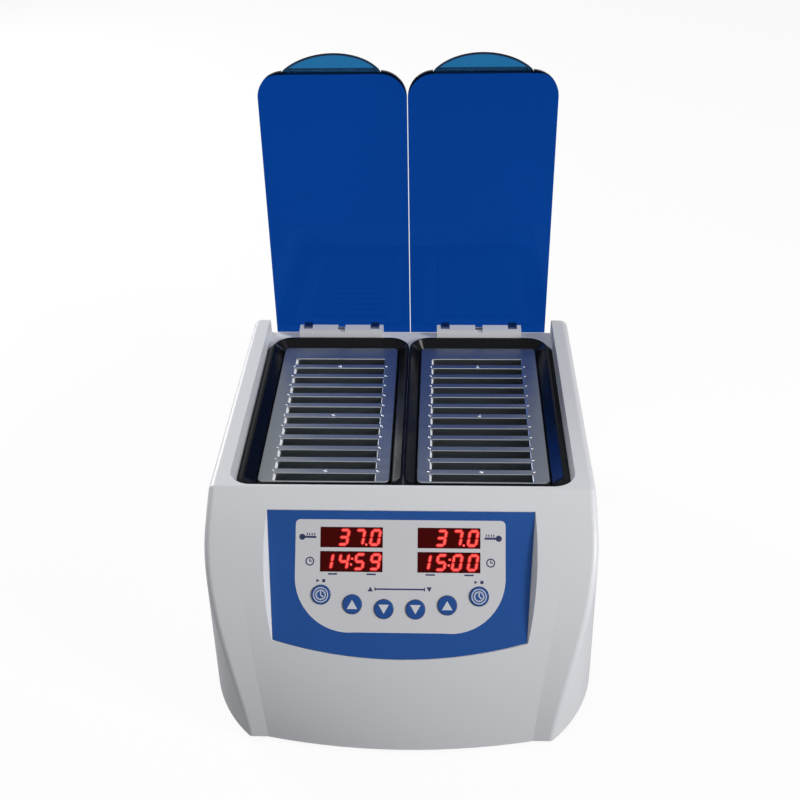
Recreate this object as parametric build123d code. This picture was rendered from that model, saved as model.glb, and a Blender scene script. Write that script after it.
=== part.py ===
from build123d import *
import math
import os

# Gel card heater: a slope-fronted bench instrument with two heated wells under two blue lids.
# The drawing frame has x to the right, y to the rear from the front edge of the lid opening, and z up
# from the deck. The finished pieces are moved so that the origin is the middle of the box, at the table.

# Main levels and lengths, in millimetres
BODY_HEIGHT = 121.5
FOOT_HEIGHT = 4.0
REAR_Y = 219.5
ORIGIN_Y = 76.4

# Housing outside
HOUSING_HALF_WIDTH = 131.5
SIDE_DRAFT = 1.7
CORNER_INSET = 35.8
CORNER_RADIUS = HOUSING_HALF_WIDTH - CORNER_INSET
CORNER_START_Y = -20.0
SHOULDER_RADIUS = 4.5
REAR_CORNER_RADIUS = 6.0
RIDGE_HEIGHT = 18.4
CHEEK_REAR_HEIGHT = 14.0
WALL = 3.0

# Front surface: two side bands and a bulged middle that meet in a crease
PANEL_TOP_Y = -13.4
PANEL_TOP_Z = 9.7
MIDDLE_FRONT_Y = -100.0
MIDDLE_FRONT_RADIUS = 215.0
SIDE_FRONT_Y = -91.3
SIDE_FRONT_RADIUS = 186.0
CREASE_INSET = 25.5
CREASE_HALF_TOP = HOUSING_HALF_WIDTH - CREASE_INSET
CREASE_TAPER = 18.3
CREASE_HALF_BASE = CREASE_HALF_TOP - CREASE_TAPER
CREASE_EASE = 1.4
CREASE_TOP_DROP = 9.0
SECTION_SHARES = (0.0, 0.14, 0.34, 0.54, 0.74, 0.9, 1.0)
BAND_OVERLAP = 0.02

# Basin between the cheeks
CHEEK_WIDTH = 16.5
BASIN_HALF_WIDTH = HOUSING_HALF_WIDTH - CHEEK_WIDTH
BASIN_CORNER = 15.0
RIDGE_LIP = 2.2
LEDGE_DEPTH = 5.8
LID_SEAT_GAP = 0.3
DECK_THICKNESS = 3.0

# Control panel: flat, sunk into the bulged front
PANEL_SLOPE = 48.0
PANEL_INSET = 19.0
PANEL_HALF_TOP = CREASE_HALF_TOP - PANEL_INSET
PANEL_TAPER = 5.5
PANEL_HALF_LOW = PANEL_HALF_TOP - PANEL_TAPER
PANEL_SIDE = 83.0
PANEL_MIDDLE = 94.5
PANEL_THICKNESS = 0.8
PANEL_MARGIN = 0.3
PANEL_FLOOR = 2.5
RECESS_RISE = 14.0
RECESS_FLARE = 33.0
FIELD_INSET = 19.0
FIELD_HALF = PANEL_HALF_TOP - FIELD_INSET
FIELD_TOP = 5.8
FIELD_BOTTOM = 77.8
FIELD_SIDE = 43.0
FIELD_FLAT_HALF = 29.0
FIELD_TOP_CORNER = 3.0
FIELD_CURVE_SHARE = 0.721

# Displays, placed by their distance down the slope
DISPLAY_WIDTH = 40.2
DISPLAY_HEIGHT = 12.8
DISPLAY_THICKNESS = 8.0
DISPLAY_CENTRE_X = 31.55
TEMPERATURE_ROW = 17.2
TIME_ROW = 32.8
DISPLAY_FIT = 0.2

# Keys
KEY_DIAMETER = 12.2
KEY_GAP = 0.3
KEY_PROUD = 0.9
KEY_TRAVEL = 0.5
KEY_FLANGE = 1.2
KEY_FLANGE_THICKNESS = 1.0
KEY_STEM_DIAMETER = 3.2
KEY_FIELD_INSET = 17.0
KEY_COUNT = 6
KEY_OUTER_X = FIELD_HALF - KEY_FIELD_INSET
KEY_PITCH = KEY_OUTER_X * 2 / (KEY_COUNT - 1)
CLOCK_KEY_ROW = 54.1
UP_KEY_ROW = 60.0
DOWN_KEY_ROW = 62.8
KEY_PLACES = {
    "left_clock_key": (-KEY_OUTER_X, CLOCK_KEY_ROW),
    "left_up_key": (KEY_PITCH - KEY_OUTER_X, UP_KEY_ROW),
    "left_down_key": (-KEY_PITCH / 2, DOWN_KEY_ROW),
    "right_down_key": (KEY_PITCH / 2, DOWN_KEY_ROW),
    "right_up_key": (KEY_OUTER_X - KEY_PITCH, UP_KEY_ROW),
    "right_clock_key": (KEY_OUTER_X, CLOCK_KEY_ROW),
}

# Control board behind the panel
BOARD_THICKNESS = 1.6
BOARD_HALF_WIDTH = 72.0
BOARD_TOP = 4.0
BOARD_BOTTOM = 72.0
BOARD_SCREW_INSET = 5.0
SWITCH_SIZE = 6.2
SWITCH_HEIGHT = 3.5
SWITCH_STEM_FIT = 0.1
BUZZER_DIAMETER = 12.0
BUZZER_HEIGHT = 9.0

# Wells: black frames round the heated blocks
FRAME_INNER_X = 0.2
FRAME_SIDE_GAP = 4.1
FRAME_OUTER_X = BASIN_HALF_WIDTH - FRAME_SIDE_GAP
FRAME_FRONT_Y = 15.5
FRAME_REAR_Y = 206.3
FRAME_HEIGHT = 3.0
FRAME_RIM = 1.6
FRAME_FLANGE = 3.2
FRAME_CORNER = 16.0
FRAME_SKIRT_BOTTOM = -8.0
FRAME_LIP = -4.0
FRAME_WING = 3.8
WELL_X0 = 9.2
WELL_SIDE_INSET = 9.5
WELL_X1 = FRAME_OUTER_X - WELL_SIDE_INSET
WELL_Y0 = 27.0
WELL_Y1 = 198.8
WELL_CORNER = 4.0
BLOCK_FIT = 0.2
FRAME_FIT = 0.2

# Heated blocks: eleven bars between rails make twelve card slots
BLOCK_TOP = -2.2
SLOT_BOTTOM = -24.0
BLOCK_BOTTOM = -30.0
SLOT_X0 = 19.5
SLOT_SIDE_INSET = 12.1
SLOT_X1 = WELL_X1 - SLOT_SIDE_INSET
BAR_COUNT = 11
BAR_FIRST_Y = 41.3
WELL_REAR_MARGIN = 27.0
BAR_PITCH = (WELL_Y1 - WELL_REAR_MARGIN - BAR_FIRST_Y) / (BAR_COUNT - 1)
BAR_WIDTH = 5.1
BAR_PIN_DIAMETER = 1.6
BAR_PIN_INSET = 1.8
BAR_PIN_LENGTH = 6.0
BAR_SCREW_DIAMETER = 2.4
BAR_SCREW_LENGTH = 5.0
FASTENER_FIT = 0.05

# Heater, insulation and tray under each block
MAT_THICKNESS = 1.5
PAD_THICKNESS = 8.0
TRAY_WALL = 1.0
TRAY_GAP = 0.4
TRAY_FLANGE_INSET = 0.2
SMALL_SCREW_DIAMETER = 2.0
SMALL_HEAD_DIAMETER = 3.2
TRAY_SCREW_LENGTH = 5.0
SENSOR_DIAMETER = 4.0
SENSOR_LENGTH = 26.0
SENSOR_INSET_Y = 8.0
CUTOUT_DIAMETER = 13.0
CUTOUT_HEIGHT = 11.0
SMALL_FIT = 0.3

# Lids
LID_THICKNESS = 3.0
LID_LENGTH = 214.6
LID_SIDE_GAP = 4.6
LID_OUTER_X = BASIN_HALF_WIDTH - LID_SIDE_GAP
LID_INNER_X = 0.3
LID_CORNER = 19.5
LID_LEAN = 4.0
LID_FOOT_Y = 218.6
LID_FOOT_GAP = 0.4
TAB_X0 = 19.0
TAB_SIDE_INSET = 18.9
TAB_X1 = LID_OUTER_X - TAB_SIDE_INSET
TAB_LENGTH = 21.5
TAB_BEND = 68.0
TAB_BEND_RADIUS = 1.5

# Lid hinges on the rear deck
HINGE_Y = 214.8
HINGE_Z = 6.0
HINGE_PIN_DIAMETER = 2.5
HINGE_FIT = 0.06
HINGE_BLOCK_X0 = 22.0
HINGE_BLOCK_INSET = 19.9
HINGE_BLOCK_X1 = LID_OUTER_X - HINGE_BLOCK_INSET
HINGE_BLOCK_FRONT = 207.5
HINGE_BLOCK_SLOPE = 2.0
HINGE_BLOCK_REAR = 217.6
HINGE_BLOCK_HEIGHT = 8.2
HINGE_NOTCH_WIDTH = 6.0
HINGE_NOTCH_DEPTH = 2.0
KNUCKLE_WIDTH = 6.4
KNUCKLE_GAP = 0.4
KNUCKLE_RADIUS = 2.8
KNUCKLE_INSET = 6.8
LEAF_LENGTH = 4.0
LEAF_THICKNESS = 1.4
HINGE_SCREW_DIAMETER = 3.0
HINGE_SCREW_INSET = 18.0
HINGE_SCREW_Y = 211.0

# Base plate, posts and feet
BASE_THICKNESS = 2.0
BASE_FIT = 0.4
POST_SIZE = 16.0
POST_HEIGHT = 22.0
REAR_POST_REACH = 9.0
POST_REACH = 6.0
REAR_POST_INSET = 12.5
REAR_POST_X = HOUSING_HALF_WIDTH - REAR_POST_INSET
REAR_POST_Y = 207.0
FRONT_POST_INSET = 3.7
FRONT_POST_X = CREASE_HALF_BASE - FRONT_POST_INSET
FRONT_POST_Y = -80.0
SCREW_DIAMETER = 3.0
SCREW_HEAD_DIAMETER = 6.0
SCREW_HEAD_HEIGHT = 1.8
SCREW_LENGTH = 12.0
FOOT_DIAMETER = 18.0
FOOT_BORE_DIAMETER = 8.0
FOOT_BORE_DEPTH = 2.2
FOOT_REAR_INSET = 33.5
FOOT_REAR_X = HOUSING_HALF_WIDTH - FOOT_REAR_INSET
FOOT_REAR_Y = 188.0
FOOT_FRONT_INSET = 21.7
FOOT_FRONT_X = CREASE_HALF_BASE - FOOT_FRONT_INSET
FOOT_FRONT_Y = -66.0
VENT_LENGTH = 60.0
VENT_WIDTH = 3.0
VENT_PITCH = 8.0
VENT_COUNT = 7
VENT_CORNER = 1.35

# Rear panel with the mains inlet, fuse drawer and power switch
REAR_OPENING_INSET = 33.5
REAR_OPENING_HALF = HOUSING_HALF_WIDTH - REAR_OPENING_INSET
REAR_OPENING_RISE = 15.5
REAR_OPENING_LOW = REAR_OPENING_RISE - BODY_HEIGHT
REAR_OPENING_HIGH = -30.0
REAR_PANEL_LAP = 8.0
REAR_PANEL_THICKNESS = 2.0
REAR_SCREW_LENGTH = 6.0
INLET_INSET = 32.0
INLET_X = INLET_INSET - REAR_OPENING_HALF
INLET_DROP = 4.0
INLET_Z = (REAR_OPENING_LOW + REAR_OPENING_HIGH) / 2 - INLET_DROP
INLET_WIDTH = 30.0
INLET_HEIGHT = 34.0
INLET_DEPTH = 26.0
INLET_FLANGE = 4.0
INLET_FLANGE_THICKNESS = 2.0
SOCKET_WIDTH = 24.6
SOCKET_HEIGHT = 16.8
SOCKET_DEPTH = 17.0
SOCKET_RISE = 6.5
CONTACT_PITCH = 7.0
CONTACT_THICKNESS = 2.0
CONTACT_HEIGHT = 4.0
CONTACT_LENGTH = 15.0
CONTACT_RISE = 1.0
EARTH_RISE = 3.6
DRAWER_WIDTH = 25.0
DRAWER_HEIGHT = 8.0
DRAWER_DEPTH = 21.0
DRAWER_DROP = 10.4
DRAWER_FIT = 0.3
DRAWER_LIP = 1.2
DRAWER_LIP_THICKNESS = 2.0
DRAWER_TRAVEL = 17.0
FUSE_DIAMETER = 5.0
FUSE_LENGTH = 20.0
FUSE_INSET = 3.4
SWITCH_INSET = 78.0
SWITCH_X = SWITCH_INSET - REAR_OPENING_HALF
SWITCH_WIDTH = 15.0
SWITCH_TALL = 21.0
SWITCH_DEPTH = 20.0
BEZEL_MARGIN = 2.0
ROCKER_WIDTH = 10.4
ROCKER_LENGTH = 15.4
ROCKER_DEPTH = 8.0
ROCKER_TILT = 7.0
ROCKER_GAP = 0.8

# Power board on the base plate
POWER_BOARD_X = 36.0
POWER_BOARD_Y = 130.0
POWER_BOARD_WIDTH = 110.0
POWER_BOARD_DEPTH = 90.0
POWER_SPACER_HEIGHT = 8.0
SPACER_DIAMETER = 6.0
TRANSFORMER_WIDTH = 46.0
TRANSFORMER_DEPTH = 40.0
TRANSFORMER_HEIGHT = 36.0
RIBBON_WIDTH = 25.0
RIBBON_THICKNESS = 1.2
RIBBON_LEAD = 14.4
RIBBON_RUN = 36.0
RIBBON_DROP = 21.6
RIBBON_BEND = 7.2
RIBBON_X = 8.0
RIBBON_PLUG_HEIGHT = 6.0
RIBBON_PLUG_LENGTH = 8.0
RIBBON_START = 58.0

BASE_Z = -BODY_HEIGHT
BOARD_DEPTH = PANEL_THICKNESS + DISPLAY_THICKNESS
LID_SIDES = {"left": -1, "right": 1}


def block(x0, x1, y0, y1, z0, z1):
    """A box between the given planes."""
    solid = Box(x1 - x0, y1 - y0, z1 - z0, align=(Align.MIN, Align.MIN, Align.MIN))
    return Pos(x0, y0, z0) * solid


def upright(x, y, z0, z1, diameter):
    """A vertical cylinder between two levels."""
    solid = Cylinder(diameter / 2, z1 - z0, align=(Align.CENTER, Align.CENTER, Align.MIN))
    return Pos(x, y, z0) * solid


def rod_x(x0, x1, y, z, diameter):
    """A cylinder along x."""
    solid = Cylinder(diameter / 2, x1 - x0, align=(Align.CENTER, Align.CENTER, Align.MIN))
    return Pos(x0, y, z) * Rot(0, 90, 0) * solid


def rod_y(x, z, y0, y1, diameter):
    """A cylinder along y."""
    solid = Cylinder(diameter / 2, y1 - y0, align=(Align.CENTER, Align.CENTER, Align.MAX))
    return Pos(x, y0, z) * Rot(90, 0, 0) * solid


def group(solids):
    """Separate solids that make one node."""
    return Compound(children=[piece for solid in solids for piece in solid.solids()])


def mirrored(solid):
    """The same piece on the other side of the middle plane."""
    return solid.mirror(Plane.YZ)


def on_side(solid, side):
    """A piece drawn on the right side, placed left or right."""
    if side < 0:
        return mirrored(solid)
    return solid


def rounded_plate(x0, x1, y0, y1, z0, z1, radius):
    """A plate with four rounded upright corners."""
    outline = RectangleRounded(x1 - x0, y1 - y0, radius)
    face = Pos((x0 + x1) / 2, (y0 + y1) / 2, z0) * outline
    return extrude(face, z1 - z0)


# Places on the control panel, the lids and the front arcs

def panel_place():
    """Location of the panel: x across, y up the slope from its top edge, z outward."""
    slope = math.radians(PANEL_SLOPE)
    outward = (0, -math.sin(slope), math.cos(slope))
    return Plane(origin=(0, PANEL_TOP_Y, PANEL_TOP_Z), x_dir=(1, 0, 0), z_dir=outward).location


def lid_place():
    """Location of an open lid's inner face: x across, y up the plate, z to the front."""
    lean = math.radians(LID_LEAN)
    outward = (0, -math.cos(lean), math.sin(lean))
    return Plane(origin=(0, LID_FOOT_Y, 0), x_dir=(1, 0, 0), z_dir=outward).location


def hinge_on_lid():
    """The hinge axis in the lid's own frame: height up the plate, and distance in front of it."""
    lean = math.radians(LID_LEAN)
    back = HINGE_Y - LID_FOOT_Y
    up = back * math.sin(lean) + HINGE_Z * math.cos(lean)
    front = -back * math.cos(lean) + HINGE_Z * math.sin(lean)
    return up, front


def closed_lid_z():
    """Height of the inner face of a closed lid."""
    return HINGE_Z + hinge_on_lid()[1]


def arc_centre(first, second, radius):
    """Centre, on the rear side, of the circle through two points of the y-z plane."""
    run_y = second[0] - first[0]
    run_z = second[1] - first[1]
    chord = math.hypot(run_y, run_z)
    reach = math.sqrt(radius**2 - chord**2 / 4)
    centre_y = (first[0] + second[0]) / 2 - run_z / chord * reach
    centre_z = (first[1] + second[1]) / 2 + run_y / chord * reach
    return centre_y, centre_z


def front_y(z, base_y, radius, inset):
    """Y of a front arc at a height, moved inward by the inset."""
    centre_y, centre_z = arc_centre((PANEL_TOP_Y, PANEL_TOP_Z), (base_y, BASE_Z), radius)
    return centre_y - math.sqrt((radius - inset) ** 2 - (z - centre_z) ** 2)


def crease_half(z):
    """Half-width of the bulged middle at a height."""
    share = (z - BASE_Z) / (BODY_HEIGHT - CREASE_TOP_DROP)
    share = min(1.0, max(0.0, share))
    return CREASE_HALF_BASE + (CREASE_HALF_TOP - CREASE_HALF_BASE) * share**CREASE_EASE


# Housing

def side_bands(inset, low):
    """Long prism with the side view: front arc, ridge, sloping cheek top, upright rear."""
    top = RIDGE_HEIGHT - inset
    middle = (top + low) / 2
    rear = REAR_Y - inset
    points = []
    for z in (low, middle, top):
        points.append((front_y(z, SIDE_FRONT_Y, SIDE_FRONT_RADIUS, inset), z))
    arc = ThreePointArc(*points)
    rest = Polyline(points[2], (rear, CHEEK_REAR_HEIGHT - inset), (rear, low), points[0])
    face = Plane.YZ * make_face([arc, rest])
    return extrude(face, HOUSING_HALF_WIDTH * 2, both=True)


def bulged_middle(inset, low):
    """Middle of the front: arcs in plan that flatten out towards the top."""
    sections = []
    top = PANEL_TOP_Z - WALL
    for share in SECTION_SHARES:
        z = low + (top - low) * share
        half = crease_half(z)
        side = front_y(z, SIDE_FRONT_Y, SIDE_FRONT_RADIUS, inset) + BAND_OVERLAP
        middle = front_y(z, MIDDLE_FRONT_Y, MIDDLE_FRONT_RADIUS, inset) - BAND_OVERLAP
        arc = ThreePointArc((-half, side), (0, middle), (half, side))
        rest = Polyline((half, side), (half, 0), (-half, 0), (-half, side))
        sections.append(Pos(0, 0, z) * make_face([arc, rest]))
    return loft(sections)


def plan_prism(inset, low):
    """Plan outline with round front corners, drafted inward towards the top."""
    half = HOUSING_HALF_WIDTH - inset
    radius = CORNER_RADIUS - inset
    centre = HOUSING_HALF_WIDTH - CORNER_RADIUS
    rear = REAR_Y + WALL
    left = CenterArc((-centre, CORNER_START_Y), radius, 180, 90)
    front = Line(left @ 1, (centre, CORNER_START_Y - radius))
    right = CenterArc((centre, CORNER_START_Y), radius, 270, 90)
    rest = Polyline(right @ 1, (half, rear), (-half, rear), left @ 0)
    face = Pos(0, 0, low) * make_face([left, front, right, rest])
    return extrude(face, BODY_HEIGHT + RIDGE_HEIGHT + WALL * 2, taper=SIDE_DRAFT)


def housing_form(inset, low):
    """Outer form of the housing, moved inward by the inset."""
    form = side_bands(inset, low) + bulged_middle(inset, low)
    return form & plan_prism(inset, low)


def shoulder_edges(form):
    """Edges between the outer sides and the top and front, which are rounded."""
    chosen = []
    for edge in form.edges():
        box = edge.bounding_box()
        near = min(abs(box.min.X), abs(box.max.X))
        deep = box.max.Y - box.min.Y
        tall = box.max.Z - box.min.Z
        along_top = near > BASIN_HALF_WIDTH and box.min.Z > 0 and deep > WALL
        down_front = near > CREASE_HALF_BASE + BAND_OVERLAP and tall > WALL and box.max.Y < WALL
        upright_line = deep < BAND_OVERLAP
        if (along_top or down_front) and not upright_line:
            chosen.append(edge)
    return chosen


def rear_edges(form):
    """The two upright edges at the rear, which are rounded too."""
    chosen = []
    for edge in form.edges():
        box = edge.bounding_box()
        if box.min.Y > REAR_Y - WALL and box.max.Z - box.min.Z > BODY_HEIGHT / 2:
            chosen.append(edge)
    return chosen


def basin_cut(extra):
    """The space between the cheeks, open to the top and the rear."""
    half = BASIN_HALF_WIDTH + extra
    ledge_y = RIDGE_LIP + LEDGE_DEPTH - extra
    lip_y = RIDGE_LIP - extra
    ledge_z = closed_lid_z() - LID_SEAT_GAP - extra
    far = REAR_Y + BASIN_CORNER * 2
    high = RIDGE_HEIGHT + WALL
    deep = rounded_plate(-half, half, ledge_y, far, -extra, high, BASIN_CORNER)
    wide = rounded_plate(-half, half, lip_y, far, ledge_z, high, BASIN_CORNER)
    return deep + wide


def panel_face(margin):
    """Outline of the panel in its own frame, with a convex lower edge."""
    top_half = PANEL_HALF_TOP + margin
    low_half = PANEL_HALF_LOW + margin
    side = -PANEL_SIDE - margin
    top = margin
    arc = ThreePointArc((-low_half, side), (0, -PANEL_MIDDLE - margin), (low_half, side))
    rest = Polyline((low_half, side), (top_half, top), (-top_half, top), (-low_half, side))
    return make_face([arc, rest])


def recess_cut():
    """The sunk seat of the control panel: upright walls to the panel's face, flared walls above it."""
    face = panel_face(PANEL_MARGIN)
    seat = extrude(face, -PANEL_THICKNESS)
    return panel_place() * (seat + extrude(face, RECESS_RISE, taper=-RECESS_FLARE))


def recess_tub():
    """The block of wall that carries the sunk panel."""
    face = Pos(0, 0, -PANEL_THICKNESS - PANEL_FLOOR) * panel_face(PANEL_MARGIN + PANEL_FLOOR)
    return panel_place() * extrude(face, RECESS_RISE * 2, taper=-RECESS_FLARE)


def panel_rod(x, s, low, high, diameter):
    """A round bar square to the panel, between two depths."""
    solid = Cylinder(diameter / 2, high - low, align=(Align.CENTER, Align.CENTER, Align.MIN))
    return panel_place() * Pos(x, -s, low) * solid


def panel_box(x0, x1, s0, s1, low, high):
    """A box square to the panel, given by distances across, down the slope and outward."""
    return panel_place() * block(x0, x1, -s1, -s0, low, high)


def display_places():
    """Name, x and distance down the slope of each display."""
    places = []
    for name, side in LID_SIDES.items():
        places.append((name + "_temperature_display", side * DISPLAY_CENTRE_X, TEMPERATURE_ROW))
        places.append((name + "_time_display", side * DISPLAY_CENTRE_X, TIME_ROW))
    return places


def display_box(x, s, low, high, margin):
    """A display's own block, or the hole for it."""
    half_width = DISPLAY_WIDTH / 2 + margin
    half_height = DISPLAY_HEIGHT / 2 + margin
    return panel_box(x - half_width, x + half_width, s - half_height, s + half_height, low, high)


def panel_holes(low, high):
    """Key and display holes through the panel's layers."""
    holes = []
    for x, s in KEY_PLACES.values():
        holes.append(panel_rod(x, s, low, high, KEY_DIAMETER + KEY_GAP * 2))
    for name, x, s in display_places():
        holes.append(display_box(x, s, low, high, DISPLAY_FIT))
    return holes


def post_places():
    """Centres of the four posts that take the base screws."""
    return [
        (-REAR_POST_X, REAR_POST_Y),
        (REAR_POST_X, REAR_POST_Y),
        (-FRONT_POST_X, FRONT_POST_Y),
        (FRONT_POST_X, FRONT_POST_Y),
    ]


def housing_posts():
    """Square posts in the corners, trimmed by the outer form."""
    posts = []
    half = POST_SIZE / 2
    low = BASE_Z + BASE_THICKNESS
    for x, y in post_places():
        reach = REAR_POST_REACH if y > 0 else 0
        front = 0 if y > 0 else POST_REACH
        side = math.copysign(POST_REACH, x) if y > 0 else 0
        x0 = min(x - half, x - half + side)
        x1 = max(x + half, x + half + side)
        posts.append(block(x0, x1, y - half - front, y + half + reach, low, low + POST_HEIGHT))
    return posts


def make_top_housing():
    """White moulding: cheeks, ridge, deck, bulged front and sunk panel seat."""
    outer = housing_form(0.0, BASE_Z)
    outer = outer.fillet(REAR_CORNER_RADIUS, rear_edges(outer))
    outer = outer.fillet(SHOULDER_RADIUS, shoulder_edges(outer))
    cavity = housing_form(WALL, BASE_Z - WALL)
    cavity = cavity - basin_cut(DECK_THICKNESS) - recess_tub()
    shell = outer - cavity
    for post in housing_posts():
        shell = shell + (post & outer)
    shell = shell - basin_cut(0.0) - recess_cut()
    for hole in panel_holes(-PANEL_THICKNESS - PANEL_FLOOR * 4, 0):
        shell = shell - hole
    for side in LID_SIDES.values():
        shell = shell - on_side(well_plate(FRAME_FIT, -DECK_THICKNESS * 2, DECK_THICKNESS), side)
        for x in hinge_screw_places():
            hole = upright(x, HINGE_SCREW_Y, -DECK_THICKNESS * 2, 0, hole_for(HINGE_SCREW_DIAMETER))
            shell = shell - on_side(hole, side)
    low = REAR_OPENING_LOW
    high = REAR_OPENING_HIGH
    half = REAR_OPENING_HALF
    shell = shell - block(-half, half, REAR_Y - WALL * 2, REAR_Y + WALL, low, high)
    for x, z in rear_screw_places():
        shell = shell - rod_y(x, z, REAR_Y - WALL * 2, REAR_Y + WALL, hole_for(SCREW_DIAMETER))
    for x, y in post_places():
        hole = upright(x, y, BASE_Z, BASE_Z + BASE_THICKNESS + SCREW_LENGTH, hole_for(SCREW_DIAMETER))
        shell = shell - hole
    return shell


def hole_for(diameter):
    """Diameter of a hole that holds a screw or pin."""
    return diameter + FASTENER_FIT * 2


# Base plate and feet

def foot_places():
    """Centres of the four feet."""
    return [
        (-FOOT_REAR_X, FOOT_REAR_Y),
        (FOOT_REAR_X, FOOT_REAR_Y),
        (-FOOT_FRONT_X, FOOT_FRONT_Y),
        (FOOT_FRONT_X, FOOT_FRONT_Y),
    ]


def make_base_plate():
    """Steel plate that closes the housing from below, with vent slots."""
    low = BASE_Z
    plate = housing_form(WALL + BASE_FIT, low - WALL) & block(
        -HOUSING_HALF_WIDTH, HOUSING_HALF_WIDTH, MIDDLE_FRONT_Y, REAR_Y, low, low + BASE_THICKNESS
    )
    for x, y in post_places() + foot_places():
        plate = plate - upright(x, y, low, low + BASE_THICKNESS, hole_for(SCREW_DIAMETER))
    for x, y in power_spacer_places():
        plate = plate - upright(x, y, low, low + BASE_THICKNESS, hole_for(SCREW_DIAMETER))
    for index in range(VENT_COUNT):
        y = index * VENT_PITCH
        slot = rounded_plate(
            -VENT_LENGTH / 2, VENT_LENGTH / 2, y, y + VENT_WIDTH,
            low, low + BASE_THICKNESS, VENT_CORNER
        )
        plate = plate - slot
    return plate


def head_screw(x, y, z, length, diameter):
    """An upright screw with its head under the level z."""
    head = upright(x, y, z - SCREW_HEAD_HEIGHT, z, SCREW_HEAD_DIAMETER)
    return head + upright(x, y, z, z + length, diameter)


def make_feet():
    """Four rubber feet and the screws that hold them."""
    feet = []
    screws = []
    low = BASE_Z - FOOT_HEIGHT
    for x, y in foot_places():
        seat = low + FOOT_BORE_DEPTH
        foot = upright(x, y, low, BASE_Z, FOOT_DIAMETER)
        foot = foot - upright(x, y, low, seat, FOOT_BORE_DIAMETER)
        foot = foot - upright(x, y, low, BASE_Z, hole_for(SCREW_DIAMETER))
        feet.append(foot)
        screws.append(head_screw(x, y, seat, BASE_Z + BASE_THICKNESS - seat, SCREW_DIAMETER))
    return group(feet), group(screws)


def make_base_screws():
    """Screws from below through the plate into the posts."""
    screws = []
    for x, y in post_places():
        screws.append(head_screw(x, y, BASE_Z, SCREW_LENGTH, SCREW_DIAMETER))
    return group(screws)


# Control panel, displays, keys and board

def field_face(margin):
    """Outline of the light field: small top corners and large lower curves."""
    half = FIELD_HALF + margin
    top = -FIELD_TOP + margin
    side = -FIELD_SIDE
    bottom = -FIELD_BOTTOM - margin
    flat = FIELD_FLAT_HALF
    corner = FIELD_TOP_CORNER + margin
    mid_x = flat + (half - flat) * FIELD_CURVE_SHARE
    mid_y = side + (bottom - side) * FIELD_CURVE_SHARE
    right = ThreePointArc((half, side), (mid_x, mid_y), (flat, bottom))
    low = Line((flat, bottom), (-flat, bottom))
    left = ThreePointArc((-flat, bottom), (-mid_x, mid_y), (-half, side))
    up = Line((-half, side), (-half, top - corner))
    left_corner = CenterArc((-half + corner, top - corner), corner, 180, -90)
    across = Line((-half + corner, top), (half - corner, top))
    right_corner = CenterArc((half - corner, top - corner), corner, 90, -90)
    down = Line((half, top - corner), (half, side))
    return make_face([right, low, left, up, left_corner, across, right_corner, down])


def make_control_panel():
    """Blue panel plate in the sunk seat, open where the light field lies."""
    plate = extrude(Pos(0, 0, -PANEL_THICKNESS) * panel_face(0), PANEL_THICKNESS)
    field = extrude(Pos(0, 0, -PANEL_THICKNESS) * field_face(0), PANEL_THICKNESS)
    return panel_place() * (plate - field)


def make_key_field():
    """Light plate with the key and display holes."""
    field = panel_place() * extrude(Pos(0, 0, -PANEL_THICKNESS) * field_face(0), PANEL_THICKNESS)
    for hole in panel_holes(-PANEL_THICKNESS, PANEL_THICKNESS):
        field = field - hole
    return field


def make_display_windows():
    """Dark red windows level with the light field."""
    windows = []
    for name, x, s in display_places():
        windows.append(display_box(x, s, -PANEL_THICKNESS, 0, 0))
    return group(windows)


def make_key(x, s):
    """Round key with a flange behind the seat wall and a stem in its switch."""
    back = -PANEL_THICKNESS - PANEL_FLOOR - SMALL_FIT / 3
    low = back - KEY_FLANGE_THICKNESS
    board_top = -BOARD_DEPTH
    cap = panel_rod(x, s, low, KEY_PROUD, KEY_DIAMETER)
    rim = cap.edges().filter_by(GeomType.CIRCLE).group_by(Axis((0, 0, 0), panel_normal()))[-1]
    cap = cap.fillet(KEY_PROUD / 2, rim)
    flange = panel_rod(x, s, low, back, KEY_DIAMETER + KEY_FLANGE * 2)
    stem = panel_rod(x, s, board_top + KEY_TRAVEL + SMALL_FIT, low, KEY_STEM_DIAMETER)
    return cap + flange + stem


def panel_normal():
    """Outward direction of the panel."""
    slope = math.radians(PANEL_SLOPE)
    return (0, -math.sin(slope), math.cos(slope))


def make_tact_switches():
    """Square switches on the board, each with a round hole for its key's stem."""
    switches = []
    half = SWITCH_SIZE / 2
    low = -BOARD_DEPTH
    for x, s in KEY_PLACES.values():
        switch = panel_box(x - half, x + half, s - half, s + half, low, low + SWITCH_HEIGHT)
        bore = KEY_STEM_DIAMETER + SWITCH_STEM_FIT * 2
        switches.append(switch - panel_rod(x, s, low, low + SWITCH_HEIGHT, bore))
    return group(switches)


def board_screw_places():
    """Screw centres of the control board: x and distance down the slope."""
    places = []
    for x in (-BOARD_HALF_WIDTH + BOARD_SCREW_INSET, 0, BOARD_HALF_WIDTH - BOARD_SCREW_INSET):
        for s in (BOARD_TOP + BOARD_SCREW_INSET, BOARD_BOTTOM - BOARD_SCREW_INSET):
            places.append((x, s))
    return places


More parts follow.
